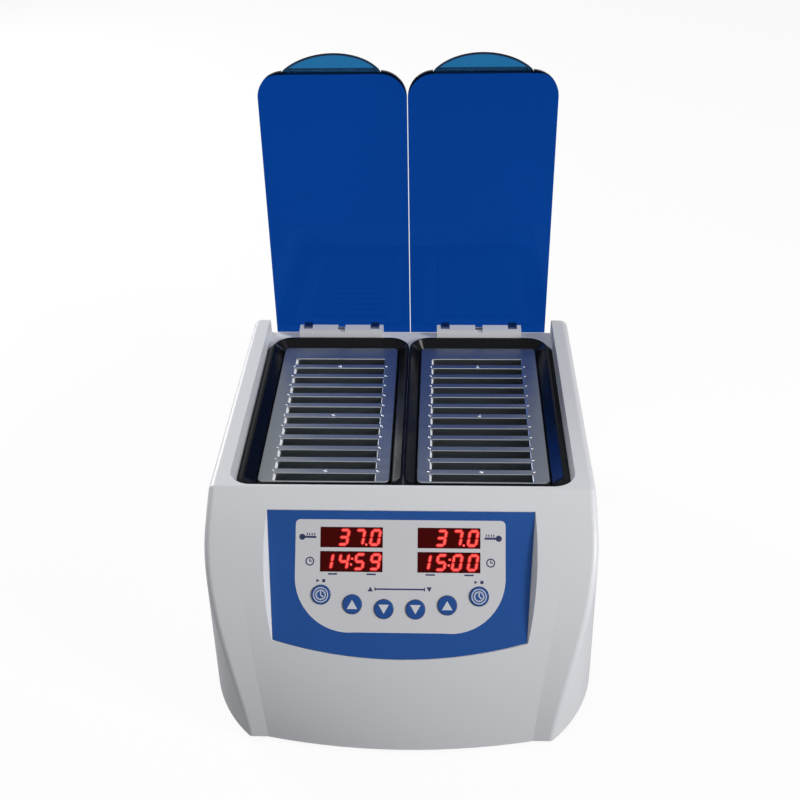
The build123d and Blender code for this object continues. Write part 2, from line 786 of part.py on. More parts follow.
def make_control_board():
    """Circuit board behind the displays, with its spacers and screws."""
    top = -BOARD_DEPTH
    low = top - BOARD_THICKNESS
    wall_back = -PANEL_THICKNESS - PANEL_FLOOR
    board = panel_box(-BOARD_HALF_WIDTH, BOARD_HALF_WIDTH, BOARD_TOP, BOARD_BOTTOM, low, top)
    spacers = []
    screws = []
    for x, s in board_screw_places():
        board = board - panel_rod(x, s, low, top, hole_for(SMALL_SCREW_DIAMETER))
        spacer = panel_rod(x, s, top, wall_back, SPACER_DIAMETER)
        spacers.append(spacer - panel_rod(x, s, top, wall_back, hole_for(SMALL_SCREW_DIAMETER)))
        shank = panel_rod(x, s, low, wall_back, SMALL_SCREW_DIAMETER)
        head = panel_rod(x, s, low - SCREW_HEAD_HEIGHT, low, SMALL_HEAD_DIAMETER)
        screws.append(shank + head)
    return board, group(spacers), group(screws)


def make_buzzer():
    """Round buzzer on the back of the board."""
    low = -BOARD_DEPTH - BOARD_THICKNESS
    middle = (TEMPERATURE_ROW + TIME_ROW) / 2
    return panel_rod(0, middle, low - BUZZER_HEIGHT, low, BUZZER_DIAMETER)


def make_ribbon_cable():
    """Flat cable from the control board down to the power board, with a plug at each end."""
    slope = math.radians(PANEL_SLOPE)
    depth = BOARD_DEPTH + BOARD_THICKNESS + RIBBON_PLUG_HEIGHT
    start_y = PANEL_TOP_Y - RIBBON_START * math.cos(slope) + depth * math.sin(slope)
    start_z = PANEL_TOP_Z - RIBBON_START * math.sin(slope) - depth * math.cos(slope)
    board_top = BASE_Z + BASE_THICKNESS + POWER_SPACER_HEIGHT + BOARD_THICKNESS
    end_y = POWER_BOARD_Y - POWER_BOARD_DEPTH / 2 + RIBBON_PLUG_LENGTH
    end_z = board_top + RIBBON_PLUG_HEIGHT
    path = FilletPolyline(
        (start_y, start_z),
        (start_y + RIBBON_LEAD * math.sin(slope), start_z - RIBBON_LEAD * math.cos(slope)),
        (end_y - RIBBON_RUN, end_z + RIBBON_DROP),
        (end_y, end_z + RIBBON_DROP),
        (end_y, end_z),
        radius=RIBBON_BEND,
    )
    strip = extrude(Plane.YZ * trace(path, RIBBON_THICKNESS), RIBBON_WIDTH / 2, both=True)
    strip = Pos(RIBBON_X, 0, 0) * strip
    half = RIBBON_PLUG_LENGTH / 2
    x0 = RIBBON_X - RIBBON_WIDTH / 2
    x1 = RIBBON_X + RIBBON_WIDTH / 2
    upper = panel_box(x0, x1, RIBBON_START - half, RIBBON_START + half, -depth,
                      RIBBON_PLUG_HEIGHT - depth)
    lower = block(x0, x1, end_y - half, end_y + half, board_top, end_z)
    return (strip - upper - lower) + upper + lower


# Wells and heated blocks, drawn on the right side

def well_plate(margin, low, high):
    """Space taken by the frame's skirt in the deck."""
    inset = FRAME_FLANGE - margin
    return rounded_plate(
        FRAME_INNER_X + inset, FRAME_OUTER_X - inset, FRAME_FRONT_Y + inset, FRAME_REAR_Y - inset,
        low, high, FRAME_CORNER - inset
    )


def make_well_frame():
    """Black frame: flange on the deck, skirt through it, and a slope down to the block."""
    flange = rounded_plate(FRAME_INNER_X, FRAME_OUTER_X, FRAME_FRONT_Y, FRAME_REAR_Y,
                           0, FRAME_HEIGHT, FRAME_CORNER)
    skirt = well_plate(0, FRAME_SKIRT_BOTTOM, 0)
    x0 = FRAME_INNER_X + FRAME_RIM
    x1 = FRAME_OUTER_X - FRAME_RIM
    y0 = FRAME_FRONT_Y + FRAME_RIM
    y1 = FRAME_REAR_Y - FRAME_RIM
    mouth = RectangleRounded(x1 - x0, y1 - y0, FRAME_CORNER - FRAME_RIM)
    mouth = Pos((x0 + x1) / 2, (y0 + y1) / 2, FRAME_HEIGHT) * mouth
    lip = RectangleRounded(WELL_X1 - WELL_X0, WELL_Y1 - WELL_Y0, WELL_CORNER)
    lip = Pos((WELL_X0 + WELL_X1) / 2, (WELL_Y0 + WELL_Y1) / 2, FRAME_LIP) * lip
    throat = rounded_plate(WELL_X0, WELL_X1, WELL_Y0, WELL_Y1, FRAME_SKIRT_BOTTOM, FRAME_LIP,
                           WELL_CORNER)
    wing = Polyline((FRAME_OUTER_X, 0), (FRAME_OUTER_X + FRAME_WING, 0),
                    (FRAME_OUTER_X, FRAME_HEIGHT), (FRAME_OUTER_X, 0))
    wing = Plane.XZ * make_face(wing)
    wing = extrude(wing, -(FRAME_REAR_Y - FRAME_FRONT_Y - FRAME_CORNER * 2))
    wing = Pos(0, FRAME_FRONT_Y + FRAME_CORNER, 0) * wing
    frame = flange + skirt + wing
    frame = frame - loft([lip.face(), mouth.face()]) - throat
    for x, y in tray_screw_places():
        low = FRAME_SKIRT_BOTTOM
        bore = upright(x, y, low, low + TRAY_SCREW_LENGTH - TRAY_WALL, hole_for(SMALL_SCREW_DIAMETER))
        frame = frame - bore
    return frame


def block_edges():
    """Outer planes of a heated block, just inside its frame."""
    return WELL_X0 + BLOCK_FIT, WELL_X1 - BLOCK_FIT, WELL_Y0 + BLOCK_FIT, WELL_Y1 - BLOCK_FIT


def bar_centres():
    """Distances of the bars from the front edge of the opening."""
    return [BAR_FIRST_Y + BAR_PITCH * index for index in range(BAR_COUNT)]


def slot_length_y():
    """Clear width of one card slot."""
    return BAR_PITCH - BAR_WIDTH


def sensor_place():
    """Centre of the sensor bore in the rear rail."""
    return (SLOT_X0 + SLOT_X1) / 2, block_edges()[3] - SENSOR_INSET_Y


def sensor_bore():
    """Bore for the temperature sensor through block, mat, pad and tray."""
    x, y = sensor_place()
    low = tray_bottom() - SENSOR_LENGTH
    return upright(x, y, low, sensor_top(), SENSOR_DIAMETER + SMALL_FIT)


def sensor_top():
    """Upper end of the sensor."""
    return tray_bottom() - SMALL_FIT + SENSOR_LENGTH


def make_block_floor():
    """Plate under the slots."""
    x0, x1, y0, y1 = block_edges()
    return block(x0, x1, y0, y1, BLOCK_BOTTOM, SLOT_BOTTOM) - sensor_bore()


def make_block_rails():
    """Two side rails and two end rails round the slots."""
    x0, x1, y0, y1 = block_edges()
    slot = slot_length_y()
    first = BAR_FIRST_Y - BAR_WIDTH / 2 - slot
    last = bar_centres()[-1] + BAR_WIDTH / 2 + slot
    rails = [
        block(x0, SLOT_X0, y0, y1, SLOT_BOTTOM, BLOCK_TOP),
        block(SLOT_X1, x1, y0, y1, SLOT_BOTTOM, BLOCK_TOP),
        block(SLOT_X0, SLOT_X1, y0, first, SLOT_BOTTOM, BLOCK_TOP),
        block(SLOT_X0, SLOT_X1, last, y1, SLOT_BOTTOM, BLOCK_TOP) - sensor_bore(),
    ]
    for index, rail in enumerate(rails[:2]):
        x = pin_places_x()[index]
        outer = rail.edges().filter_by(Axis.Z).group_by(Axis.X)[-index]
        rail = rail.fillet(WELL_CORNER - BLOCK_FIT, outer)
        for y in bar_centres():
            low = BLOCK_TOP - BAR_PIN_LENGTH
            rail = rail - upright(x, y, low, BLOCK_TOP, hole_for(BAR_PIN_DIAMETER))
        rails[index] = rail
    return group(rails)


def pin_places_x():
    """Lines of the pins beside the bar ends."""
    return SLOT_X0 - BAR_PIN_INSET, SLOT_X1 + BAR_PIN_INSET


def screwed_bars():
    """Bars that carry a small screw: the first, the middle and the last."""
    centres = bar_centres()
    return [centres[0], centres[len(centres) // 2], centres[-1]]


def make_divider_bars():
    """The bars between the card slots."""
    bars = []
    middle = (SLOT_X0 + SLOT_X1) / 2
    half = BAR_WIDTH / 2
    for y in bar_centres():
        bar = block(SLOT_X0, SLOT_X1, y - half, y + half, SLOT_BOTTOM, BLOCK_TOP)
        if y in screwed_bars():
            low = BLOCK_TOP - BAR_SCREW_LENGTH
            bar = bar - upright(middle, y, low, BLOCK_TOP, hole_for(BAR_SCREW_DIAMETER))
        bars.append(bar)
    return group(bars)


def make_bar_pins():
    """Pins beside the bar ends, flush with the block."""
    pins = []
    for x in pin_places_x():
        for y in bar_centres():
            pins.append(upright(x, y, BLOCK_TOP - BAR_PIN_LENGTH, BLOCK_TOP, BAR_PIN_DIAMETER))
    return group(pins)


def make_bar_screws():
    """Small screws in three of the bars."""
    screws = []
    for y in screwed_bars():
        middle = (SLOT_X0 + SLOT_X1) / 2
        low = BLOCK_TOP - BAR_SCREW_LENGTH
        screws.append(upright(middle, y, low, BLOCK_TOP, BAR_SCREW_DIAMETER))
    return group(screws)


def tray_bottom():
    """Lowest level of a tray."""
    return BLOCK_BOTTOM - MAT_THICKNESS - PAD_THICKNESS - TRAY_WALL


def cutout_bore(low, high):
    """Hole for the thermal cut-out."""
    x = (SLOT_X0 + SLOT_X1) / 2
    y = (WELL_Y0 + WELL_Y1) / 2
    return upright(x, y, low, high, CUTOUT_DIAMETER + SMALL_FIT * 2)


def make_heater_mat():
    """Silicone heater mat glued under the block."""
    x0, x1, y0, y1 = block_edges()
    return block(x0, x1, y0, y1, BLOCK_BOTTOM - MAT_THICKNESS, BLOCK_BOTTOM) - sensor_bore()


def make_insulation_pad():
    """Foam pad between the mat and the tray."""
    x0, x1, y0, y1 = block_edges()
    top = BLOCK_BOTTOM - MAT_THICKNESS
    pad = block(x0, x1, y0, y1, top - PAD_THICKNESS, top)
    return pad - sensor_bore() - cutout_bore(top - PAD_THICKNESS, top)


def tray_screw_places():
    """Screws that hold the tray under the frame."""
    x0 = (FRAME_INNER_X + FRAME_FLANGE + WELL_X0) / 2
    x1 = (FRAME_OUTER_X - FRAME_FLANGE + WELL_X1) / 2
    y0 = WELL_Y0 + FRAME_CORNER
    y1 = WELL_Y1 - FRAME_CORNER
    return [(x0, y0), (x1, y0), (x0, y1), (x1, y1)]


def make_block_tray():
    """Folded steel tray that carries block, mat and pad, with a flange under the frame."""
    x0, x1, y0, y1 = block_edges()
    gap = TRAY_GAP
    out = TRAY_GAP + TRAY_WALL
    low = tray_bottom()
    top = FRAME_SKIRT_BOTTOM
    shell = block(x0 - out, x1 + out, y0 - out, y1 + out, low, top)
    flange = well_plate(-TRAY_FLANGE_INSET, top - TRAY_WALL, top)
    inside = block(x0 - gap, x1 + gap, y0 - gap, y1 + gap, low + TRAY_WALL, top)
    tray = (shell + flange) - inside - sensor_bore() - cutout_bore(low, low + TRAY_WALL)
    for x, y in tray_screw_places():
        tray = tray - upright(x, y, top - TRAY_WALL, top, hole_for(SMALL_SCREW_DIAMETER))
    return tray


def make_tray_screws():
    """Screws from below through the tray flange into the frame."""
    screws = []
    low = FRAME_SKIRT_BOTTOM - TRAY_WALL
    for x, y in tray_screw_places():
        head = upright(x, y, low - SCREW_HEAD_HEIGHT, low, SMALL_HEAD_DIAMETER)
        screws.append(head + upright(x, y, low, low + TRAY_SCREW_LENGTH, SMALL_SCREW_DIAMETER))
    return group(screws)


def make_sensor():
    """Temperature sensor in its bore."""
    x, y = sensor_place()
    return upright(x, y, sensor_top() - SENSOR_LENGTH, sensor_top(), SENSOR_DIAMETER)


def make_cutout():
    """Thermal cut-out pressed against the heater mat."""
    x = (SLOT_X0 + SLOT_X1) / 2
    y = (WELL_Y0 + WELL_Y1) / 2
    top = BLOCK_BOTTOM - MAT_THICKNESS
    return upright(x, y, top - CUTOUT_HEIGHT, top, CUTOUT_DIAMETER)


# Lids and hinges, drawn on the right side

def tab_outline():
    """Prism of the tab's rounded outline, deep enough for the sheet and its bend."""
    half = (TAB_X1 - TAB_X0) / 2
    deep = (LID_THICKNESS + TAB_BEND_RADIUS) * 2
    arc = ThreePointArc((-half, 0), (0, TAB_LENGTH), (half, 0))
    foot = Polyline((half, 0), (half, -deep), (-half, -deep), (-half, 0))
    return extrude(Pos(0, 0, -deep) * make_face([arc, foot]), deep * 2)


def bend_setback():
    """Distance from the sharp corner of the bend to where its round part starts."""
    outer = TAB_BEND_RADIUS + LID_THICKNESS
    return outer * math.tan(math.radians(TAB_BEND) / 2)


def bent_strip():
    """Sheet of the tab as bent from the plate: a round bend, then a flat length, with one thickness."""
    half = (TAB_X1 - TAB_X0) / 2
    outer = TAB_BEND_RADIUS + LID_THICKNESS
    setback = bend_setback()
    flat = block(-half, half, setback, TAB_LENGTH, -LID_THICKNESS, 0)
    rod = rod_x(-half, half, 0, 0, outer * 2) - rod_x(-half, half, 0, 0, TAB_BEND_RADIUS * 2)
    reach = outer * 2
    after_plate = block(-half, half, 0, reach, 0, reach)
    before_flat = Rot(-TAB_BEND, 0, 0) * block(-half, half, -reach, 0, 0, reach)
    bend = rod & after_plate & before_flat
    return Rot(-TAB_BEND, 0, 0) * flat + Pos(0, -setback, -outer) * bend


def make_lid():
    """Transparent lid plate with a bent finger tab at its free end."""
    plate = block(LID_INNER_X, LID_OUTER_X, LID_FOOT_GAP, LID_LENGTH, -LID_THICKNESS, 0)
    corners = plate.edges().filter_by(Axis.Z).group_by(Axis.Y)[-1]
    plate = plate.fillet(LID_CORNER, corners)
    low = LID_LENGTH - bend_setback()
    plate = plate - block(TAB_X0, TAB_X1, low, LID_LENGTH, -LID_THICKNESS, 0)
    tab = bent_strip() & Rot(-TAB_BEND, 0, 0) * tab_outline()
    middle = (TAB_X0 + TAB_X1) / 2
    return lid_place() * (plate + Pos(middle, LID_LENGTH, 0) * tab)


def knuckle_centres():
    """Lines of the two knuckles of a lid."""
    return HINGE_BLOCK_X0 + KNUCKLE_INSET, HINGE_BLOCK_X1 - KNUCKLE_INSET


def make_knuckles():
    """Dark knuckles bonded to the lid's inner face, bored for the hinge pin."""
    up, front = hinge_on_lid()
    knuckles = []
    half = KNUCKLE_WIDTH / 2
    for x in knuckle_centres():
        web = block(x - half, x + half, up - KNUCKLE_RADIUS, up + KNUCKLE_RADIUS, 0, front)
        leaf = block(x - half, x + half, up, up + LEAF_LENGTH, 0, LEAF_THICKNESS)
        barrel = rod_x(x - half, x + half, up, front, KNUCKLE_RADIUS * 2)
        bore = HINGE_PIN_DIAMETER + HINGE_FIT * 2
        knuckle = web + leaf + barrel - rod_x(x - half, x + half, up, front, bore)
        knuckles.append(lid_place() * knuckle)
    return group(knuckles)


def hinge_screw_places():
    """Lines of the screws under a hinge block."""
    return HINGE_BLOCK_X0 + HINGE_SCREW_INSET, HINGE_BLOCK_X1 - HINGE_SCREW_INSET


def make_hinge_block():
    """White block on the rear deck that holds the hinge pin, with pockets for the knuckles."""
    top = HINGE_BLOCK_HEIGHT
    outline = Polyline((HINGE_BLOCK_FRONT, 0), (HINGE_BLOCK_REAR, 0), (HINGE_BLOCK_REAR, top),
                       (HINGE_BLOCK_FRONT + HINGE_BLOCK_SLOPE, top), (HINGE_BLOCK_FRONT, 0))
    solid = extrude(Plane.YZ * make_face(outline), HINGE_BLOCK_X1 - HINGE_BLOCK_X0)
    solid = Pos(HINGE_BLOCK_X0, 0, 0) * solid
    half = KNUCKLE_WIDTH / 2 + KNUCKLE_GAP
    clear = KNUCKLE_RADIUS + KNUCKLE_GAP
    for x in knuckle_centres():
        front = HINGE_Y - clear
        solid = solid - block(x - half, x + half, front, HINGE_BLOCK_REAR, HINGE_Z - clear, top)
        heel = KNUCKLE_RADIUS * 2
        solid = solid - block(x - half, x + half, HINGE_Y - KNUCKLE_GAP, HINGE_BLOCK_REAR,
                              HINGE_Z - heel, top)
    middle = (HINGE_BLOCK_X0 + HINGE_BLOCK_X1) / 2
    notch = HINGE_NOTCH_WIDTH / 2
    solid = solid - block(middle - notch, middle + notch, HINGE_BLOCK_FRONT, HINGE_BLOCK_REAR,
                          top - HINGE_NOTCH_DEPTH, top)
    x0, x1 = pin_ends()
    solid = solid - rod_x(x0, x1, HINGE_Y, HINGE_Z, hole_for(HINGE_PIN_DIAMETER))
    for x in hinge_screw_places():
        depth = HINGE_BLOCK_HEIGHT / 2
        solid = solid - upright(x, HINGE_SCREW_Y, 0, depth, hole_for(HINGE_SCREW_DIAMETER))
    return solid


def pin_ends():
    """Ends of a hinge pin inside its block."""
    return HINGE_BLOCK_X0 + KNUCKLE_GAP, HINGE_BLOCK_X1 - KNUCKLE_GAP


def make_hinge_pin():
    """Steel pin through the block and both knuckles."""
    x0, x1 = pin_ends()
    return rod_x(x0, x1, HINGE_Y, HINGE_Z, HINGE_PIN_DIAMETER)


def make_hinge_screws():
    """Screws from under the deck into a hinge block."""
    screws = []
    low = -DECK_THICKNESS
    length = HINGE_BLOCK_HEIGHT / 2 - low
    for x in hinge_screw_places():
        screws.append(head_screw(x, HINGE_SCREW_Y, low, length, HINGE_SCREW_DIAMETER))
    return group(screws)


# Rear panel, mains inlet, fuse drawer and switch

def rear_screw_places():
    """Screws in the corners of the rear panel."""
    x = REAR_OPENING_HALF + REAR_PANEL_LAP / 2
    return [
        (-x, REAR_OPENING_LOW), (x, REAR_OPENING_LOW),
        (-x, REAR_OPENING_HIGH), (x, REAR_OPENING_HIGH),
    ]


def panel_outer_y():
    """Outer face of the rear panel."""
    return REAR_Y - WALL


def make_rear_panel():
    """Steel panel behind the rear opening, cut for the inlet, the switch and the vents."""
    half = REAR_OPENING_HALF + REAR_PANEL_LAP
    low = REAR_OPENING_LOW - REAR_PANEL_LAP
    high = REAR_OPENING_HIGH + REAR_PANEL_LAP
    outer = panel_outer_y()
    inner = outer - REAR_PANEL_THICKNESS
    panel = block(-half, half, inner, outer, low, high)
    panel = panel - inlet_block(0, inner, outer)
    panel = panel - switch_block(0, inner, outer)
    for x, z in rear_screw_places():
        panel = panel - rod_y(x, z, inner, outer, hole_for(SCREW_DIAMETER))
    for index in range(VENT_COUNT):
        z = INLET_Z - VENT_PITCH * (VENT_COUNT - 1) / 2 + index * VENT_PITCH
        x = REAR_OPENING_HALF / 2
        x0 = x - VENT_LENGTH / 2
        x1 = x + VENT_LENGTH / 2
        panel = panel - block(x0, x1, inner, outer, z - VENT_WIDTH / 2, z + VENT_WIDTH / 2)
    return panel


def make_rear_screws():
    """Screws through the rear wall into the panel."""
    screws = []
    for x, z in rear_screw_places():
        head = rod_y(x, z, REAR_Y, REAR_Y + SCREW_HEAD_HEIGHT, SCREW_HEAD_DIAMETER)
        screws.append(head + rod_y(x, z, REAR_Y - REAR_SCREW_LENGTH, REAR_Y, SCREW_DIAMETER))
    return group(screws)


def inlet_block(margin, y0, y1):
    """The inlet's outline between two depths."""
    half = INLET_WIDTH / 2 + margin
    tall = INLET_HEIGHT / 2 + margin
    return block(INLET_X - half, INLET_X + half, y0, y1, INLET_Z - tall, INLET_Z + tall)


def drawer_space(margin, y0, y1):
    """The fuse drawer's outline between two depths."""
    half = DRAWER_WIDTH / 2 + margin
    tall = DRAWER_HEIGHT / 2 + margin
    z = INLET_Z - DRAWER_DROP
    return block(INLET_X - half, INLET_X + half, y0, y1, z - tall, z + tall)


def inlet_front():
    """Outer face of the inlet's flange."""
    return panel_outer_y() + INLET_FLANGE_THICKNESS


def make_mains_inlet():
    """Inlet body with a socket above and a drawer bay below."""
    outer = panel_outer_y()
    front = inlet_front()
    body = inlet_block(0, front - INLET_DEPTH, front)
    body = body + inlet_block(INLET_FLANGE, outer, front)
    half = SOCKET_WIDTH / 2
    z = INLET_Z + SOCKET_RISE
    tall = SOCKET_HEIGHT / 2
    body = body - block(INLET_X - half, INLET_X + half, front - SOCKET_DEPTH, front, z - tall, z + tall)
    return body - drawer_space(DRAWER_FIT, front - DRAWER_DEPTH - DRAWER_FIT, front)


def make_inlet_contacts():
    """Three flat contact pins standing in the socket."""
    contacts = []
    back = inlet_front() - SOCKET_DEPTH
    half = CONTACT_THICKNESS / 2
    tall = CONTACT_HEIGHT / 2
    for step in (-1, 0, 1):
        x = INLET_X + step * CONTACT_PITCH
        z = INLET_Z + SOCKET_RISE + (EARTH_RISE if step == 0 else CONTACT_RISE)
        contacts.append(block(x - half, x + half, back, back + CONTACT_LENGTH, z - tall, z + tall))
    return group(contacts)


def fuse_place_y():
    """Distance of the fuse from the opening, when the drawer is shut."""
    return inlet_front() - DRAWER_DEPTH + FUSE_INSET + FUSE_DIAMETER / 2


def make_fuse_drawer():
    """Drawer with a cradle for the fuse and a lip to pull it by."""
    front = inlet_front()
    drawer = drawer_space(0, front - DRAWER_DEPTH, front)
    lip = drawer_space(DRAWER_LIP, front, front + DRAWER_LIP_THICKNESS)
    z = INLET_Z - DRAWER_DROP
    half = FUSE_LENGTH / 2 + SMALL_FIT
    y = fuse_place_y()
    cradle = rod_x(INLET_X - half, INLET_X + half, y, z, FUSE_DIAMETER + SMALL_FIT)
    mouth = (FUSE_DIAMETER + SMALL_FIT) / 2
    slot = block(INLET_X - half, INLET_X + half, y - mouth, y + mouth, z, z + DRAWER_HEIGHT / 2)
    return drawer + lip - cradle - slot


def make_fuse():
    """Glass fuse lying in the drawer."""
    z = INLET_Z - DRAWER_DROP
    half = FUSE_LENGTH / 2
    return rod_x(INLET_X - half, INLET_X + half, fuse_place_y(), z, FUSE_DIAMETER)


def switch_block(margin, y0, y1):
    """The power switch's outline between two depths."""
    half = SWITCH_WIDTH / 2 + margin
    tall = SWITCH_TALL / 2 + margin
    return block(SWITCH_X - half, SWITCH_X + half, y0, y1, INLET_Z - tall, INLET_Z + tall)


def make_power_switch():
    """Switch body with a bezel and an open front for the rocker."""
    outer = panel_outer_y()
    front = inlet_front()
    body = switch_block(0, front - SWITCH_DEPTH, front) + switch_block(BEZEL_MARGIN, outer, front)
    half = ROCKER_WIDTH / 2 + SMALL_FIT
    tall = ROCKER_LENGTH / 2 + ROCKER_GAP
    depth = ROCKER_DEPTH + ROCKER_GAP * 2
    z0 = INLET_Z - tall
    z1 = INLET_Z + tall
    bay = block(SWITCH_X - half, SWITCH_X + half, front - depth, front, z0, z1)
    ends = SWITCH_WIDTH / 2 - BEZEL_MARGIN / 2
    axle = rod_x(SWITCH_X - ends, SWITCH_X + ends, rocker_axis_y(), INLET_Z,
                 SCREW_DIAMETER + HINGE_FIT * 2)
    return body - bay - axle


def rocker_axis_y():
    """Distance of the rocker's axle from the opening."""
    return inlet_front() - ROCKER_DEPTH / 2


def make_rocker():
    """Rocker with a shallow V front on a short axle, tilted to its off side."""
    half = ROCKER_LENGTH / 2
    depth = ROCKER_DEPTH / 2
    dip = half * math.tan(math.radians(ROCKER_TILT))
    outline = Polyline((-depth / 2, -half), (depth + dip, -half), (depth, 0), (depth + dip, half),
                       (-depth / 2, half), (-depth, 0), (-depth / 2, -half))
    body = extrude(Plane.YZ * make_face(outline), ROCKER_WIDTH / 2, both=True)
    ends = SWITCH_WIDTH / 2 - BEZEL_MARGIN
    body = body + rod_x(-ends, ends, 0, 0, SCREW_DIAMETER)
    return Pos(SWITCH_X, rocker_axis_y(), INLET_Z) * Rot(-ROCKER_TILT, 0, 0) * body


# Power board

def power_spacer_places():
    """Corners of the power board where its spacers stand."""
    half_x = POWER_BOARD_WIDTH / 2 - BOARD_SCREW_INSET
    half_y = POWER_BOARD_DEPTH / 2 - BOARD_SCREW_INSET
    places = []
    for x in (POWER_BOARD_X - half_x, POWER_BOARD_X + half_x):
        for y in (POWER_BOARD_Y - half_y, POWER_BOARD_Y + half_y):
            places.append((x, y))
    return places


def power_board_low():
    """Underside of the power board."""
    return BASE_Z + BASE_THICKNESS + POWER_SPACER_HEIGHT


def make_power_board():
    """Circuit board on spacers above the base plate."""
    low = power_board_low()
    half_x = POWER_BOARD_WIDTH / 2
    half_y = POWER_BOARD_DEPTH / 2
    board = block(POWER_BOARD_X - half_x, POWER_BOARD_X + half_x, POWER_BOARD_Y - half_y,
                  POWER_BOARD_Y + half_y, low, low + BOARD_THICKNESS)
    for x, y in power_spacer_places():
        board = board - upright(x, y, low, low + BOARD_THICKNESS, hole_for(SCREW_DIAMETER))
    return board


def make_power_spacers():
    """Spacers with a threaded end through the base plate and a nut end above the board."""
    spacers = []
    low = power_board_low()
    top = low + BOARD_THICKNESS
    for x, y in power_spacer_places():
        spacer = upright(x, y, BASE_Z + BASE_THICKNESS, low, SPACER_DIAMETER)
        spacer = spacer + upright(x, y, BASE_Z, top, SCREW_DIAMETER)
        spacers.append(spacer + upright(x, y, top, top + SCREW_HEAD_HEIGHT, SPACER_DIAMETER))
    return group(spacers)


def make_transformer():
    """Transformer on the power board."""
    low = power_board_low() + BOARD_THICKNESS
    half_x = TRANSFORMER_WIDTH / 2
    half_y = TRANSFORMER_DEPTH / 2
    return block(POWER_BOARD_X - half_x, POWER_BOARD_X + half_x, POWER_BOARD_Y - half_y,
                 POWER_BOARD_Y + half_y, low, low + TRANSFORMER_HEIGHT)


# Assembly

def both_sides(solid):
    """A right-hand piece and its mirror image as one group."""
    return group([solid, mirrored(solid)])


def all_nodes():
    """Every node by name."""
    feet, foot_screws = make_feet()
    board, board_spacers, board_screws = make_control_board()
    nodes = {
        "top_housing": make_top_housing(),
        "base_plate": make_base_plate(),
        "base_screws": make_base_screws(),
        "rubber_feet": feet,
        "foot_screws": foot_screws,
        "rear_panel": make_rear_panel(),
        "rear_panel_screws": make_rear_screws(),
        "control_panel": make_control_panel(),
        "key_field": make_key_field(),
        "display_windows": make_display_windows(),
        "control_board": board,
        "board_spacers": board_spacers,
        "board_screws": board_screws,
        "tact_switches": make_tact_switches(),
        "buzzer": make_buzzer(),
        "ribbon_cable": make_ribbon_cable(),
        "bar_pins": both_sides(make_bar_pins()),
        "bar_screws": both_sides(make_bar_screws()),
        "heater_mats": both_sides(make_heater_mat()),
        "insulation_pads": both_sides(make_insulation_pad()),
        "tray_screws": both_sides(make_tray_screws()),
        "temperature_sensors": both_sides(make_sensor()),
        "thermal_cutouts": both_sides(make_cutout()),
        "hinge_pins": both_sides(make_hinge_pin()),
        "hinge_block_screws": both_sides(make_hinge_screws()),
        "mains_inlet": make_mains_inlet(),
        "inlet_contacts": make_inlet_contacts(),
        "fuse_drawer": make_fuse_drawer(),
        "fuse": make_fuse(),
        "power_switch": make_power_switch(),
        "rocker": make_rocker(),
        "power_board": make_power_board(),
        "power_board_spacers": make_power_spacers(),
        "transformer": make_transformer(),
    }
    for name, x, s in display_places():
        nodes[name] = display_box(x, s, -BOARD_DEPTH, -PANEL_THICKNESS, 0)
    for name, place in KEY_PLACES.items():
        nodes[name] = make_key(*place)
    for name, side in LID_SIDES.items():
        nodes[name + "_well_frame"] = on_side(make_well_frame(), side)
        nodes[name + "_block_floor"] = on_side(make_block_floor(), side)
        nodes[name + "_block_rails"] = on_side(make_block_rails(), side)
        nodes[name + "_divider_bars"] = on_side(make_divider_bars(), side)
        nodes[name + "_block_tray"] = on_side(make_block_tray(), side)
        nodes[name + "_hinge_block"] = on_side(make_hinge_block(), side)
        nodes[name + "_lid"] = on_side(make_lid(), side)
        nodes[name + "_lid_knuckles"] = on_side(make_knuckles(), side)
    return nodes


os.makedirs("parts", exist_ok=True)
to_table = Location((0, -ORIGIN_Y, BODY_HEIGHT + FOOT_HEIGHT))
for node_name, node_shape in all_nodes().items():
    placed = group([to_table * solid for solid in node_shape.solids()])
    export_step(placed, "parts/" + node_name + ".step")
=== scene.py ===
import math
import bpy
import numpy as np
from mathutils import Matrix, Vector


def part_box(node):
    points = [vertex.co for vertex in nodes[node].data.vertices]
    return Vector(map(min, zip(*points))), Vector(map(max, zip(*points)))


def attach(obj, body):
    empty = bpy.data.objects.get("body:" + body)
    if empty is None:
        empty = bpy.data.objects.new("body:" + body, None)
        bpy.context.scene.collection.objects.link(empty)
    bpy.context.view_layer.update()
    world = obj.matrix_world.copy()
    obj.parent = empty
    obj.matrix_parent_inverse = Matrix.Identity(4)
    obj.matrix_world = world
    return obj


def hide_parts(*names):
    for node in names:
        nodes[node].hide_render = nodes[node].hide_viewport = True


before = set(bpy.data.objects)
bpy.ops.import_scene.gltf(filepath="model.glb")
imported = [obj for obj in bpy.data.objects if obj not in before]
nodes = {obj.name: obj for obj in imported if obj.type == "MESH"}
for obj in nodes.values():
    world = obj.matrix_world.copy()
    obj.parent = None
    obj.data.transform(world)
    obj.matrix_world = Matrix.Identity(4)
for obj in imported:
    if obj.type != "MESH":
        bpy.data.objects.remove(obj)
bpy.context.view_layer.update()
scene = bpy.context.scene
scene.view_settings.view_transform = "Standard"

# Camera: a long lens in front, a little to the right, looking down at about 36 degrees.
# Its place, turn and length were fitted to the photograph, with the displays at their real size.
EYE = Vector((0.0273, -0.6191, 0.6057))
PITCH = math.radians(35.76)
YAW = math.radians(-2.80)
ROLL = math.radians(-1.35)
LENS = 48.88
SENSOR_WIDTH = 36.0
FARTHEST = 30.0

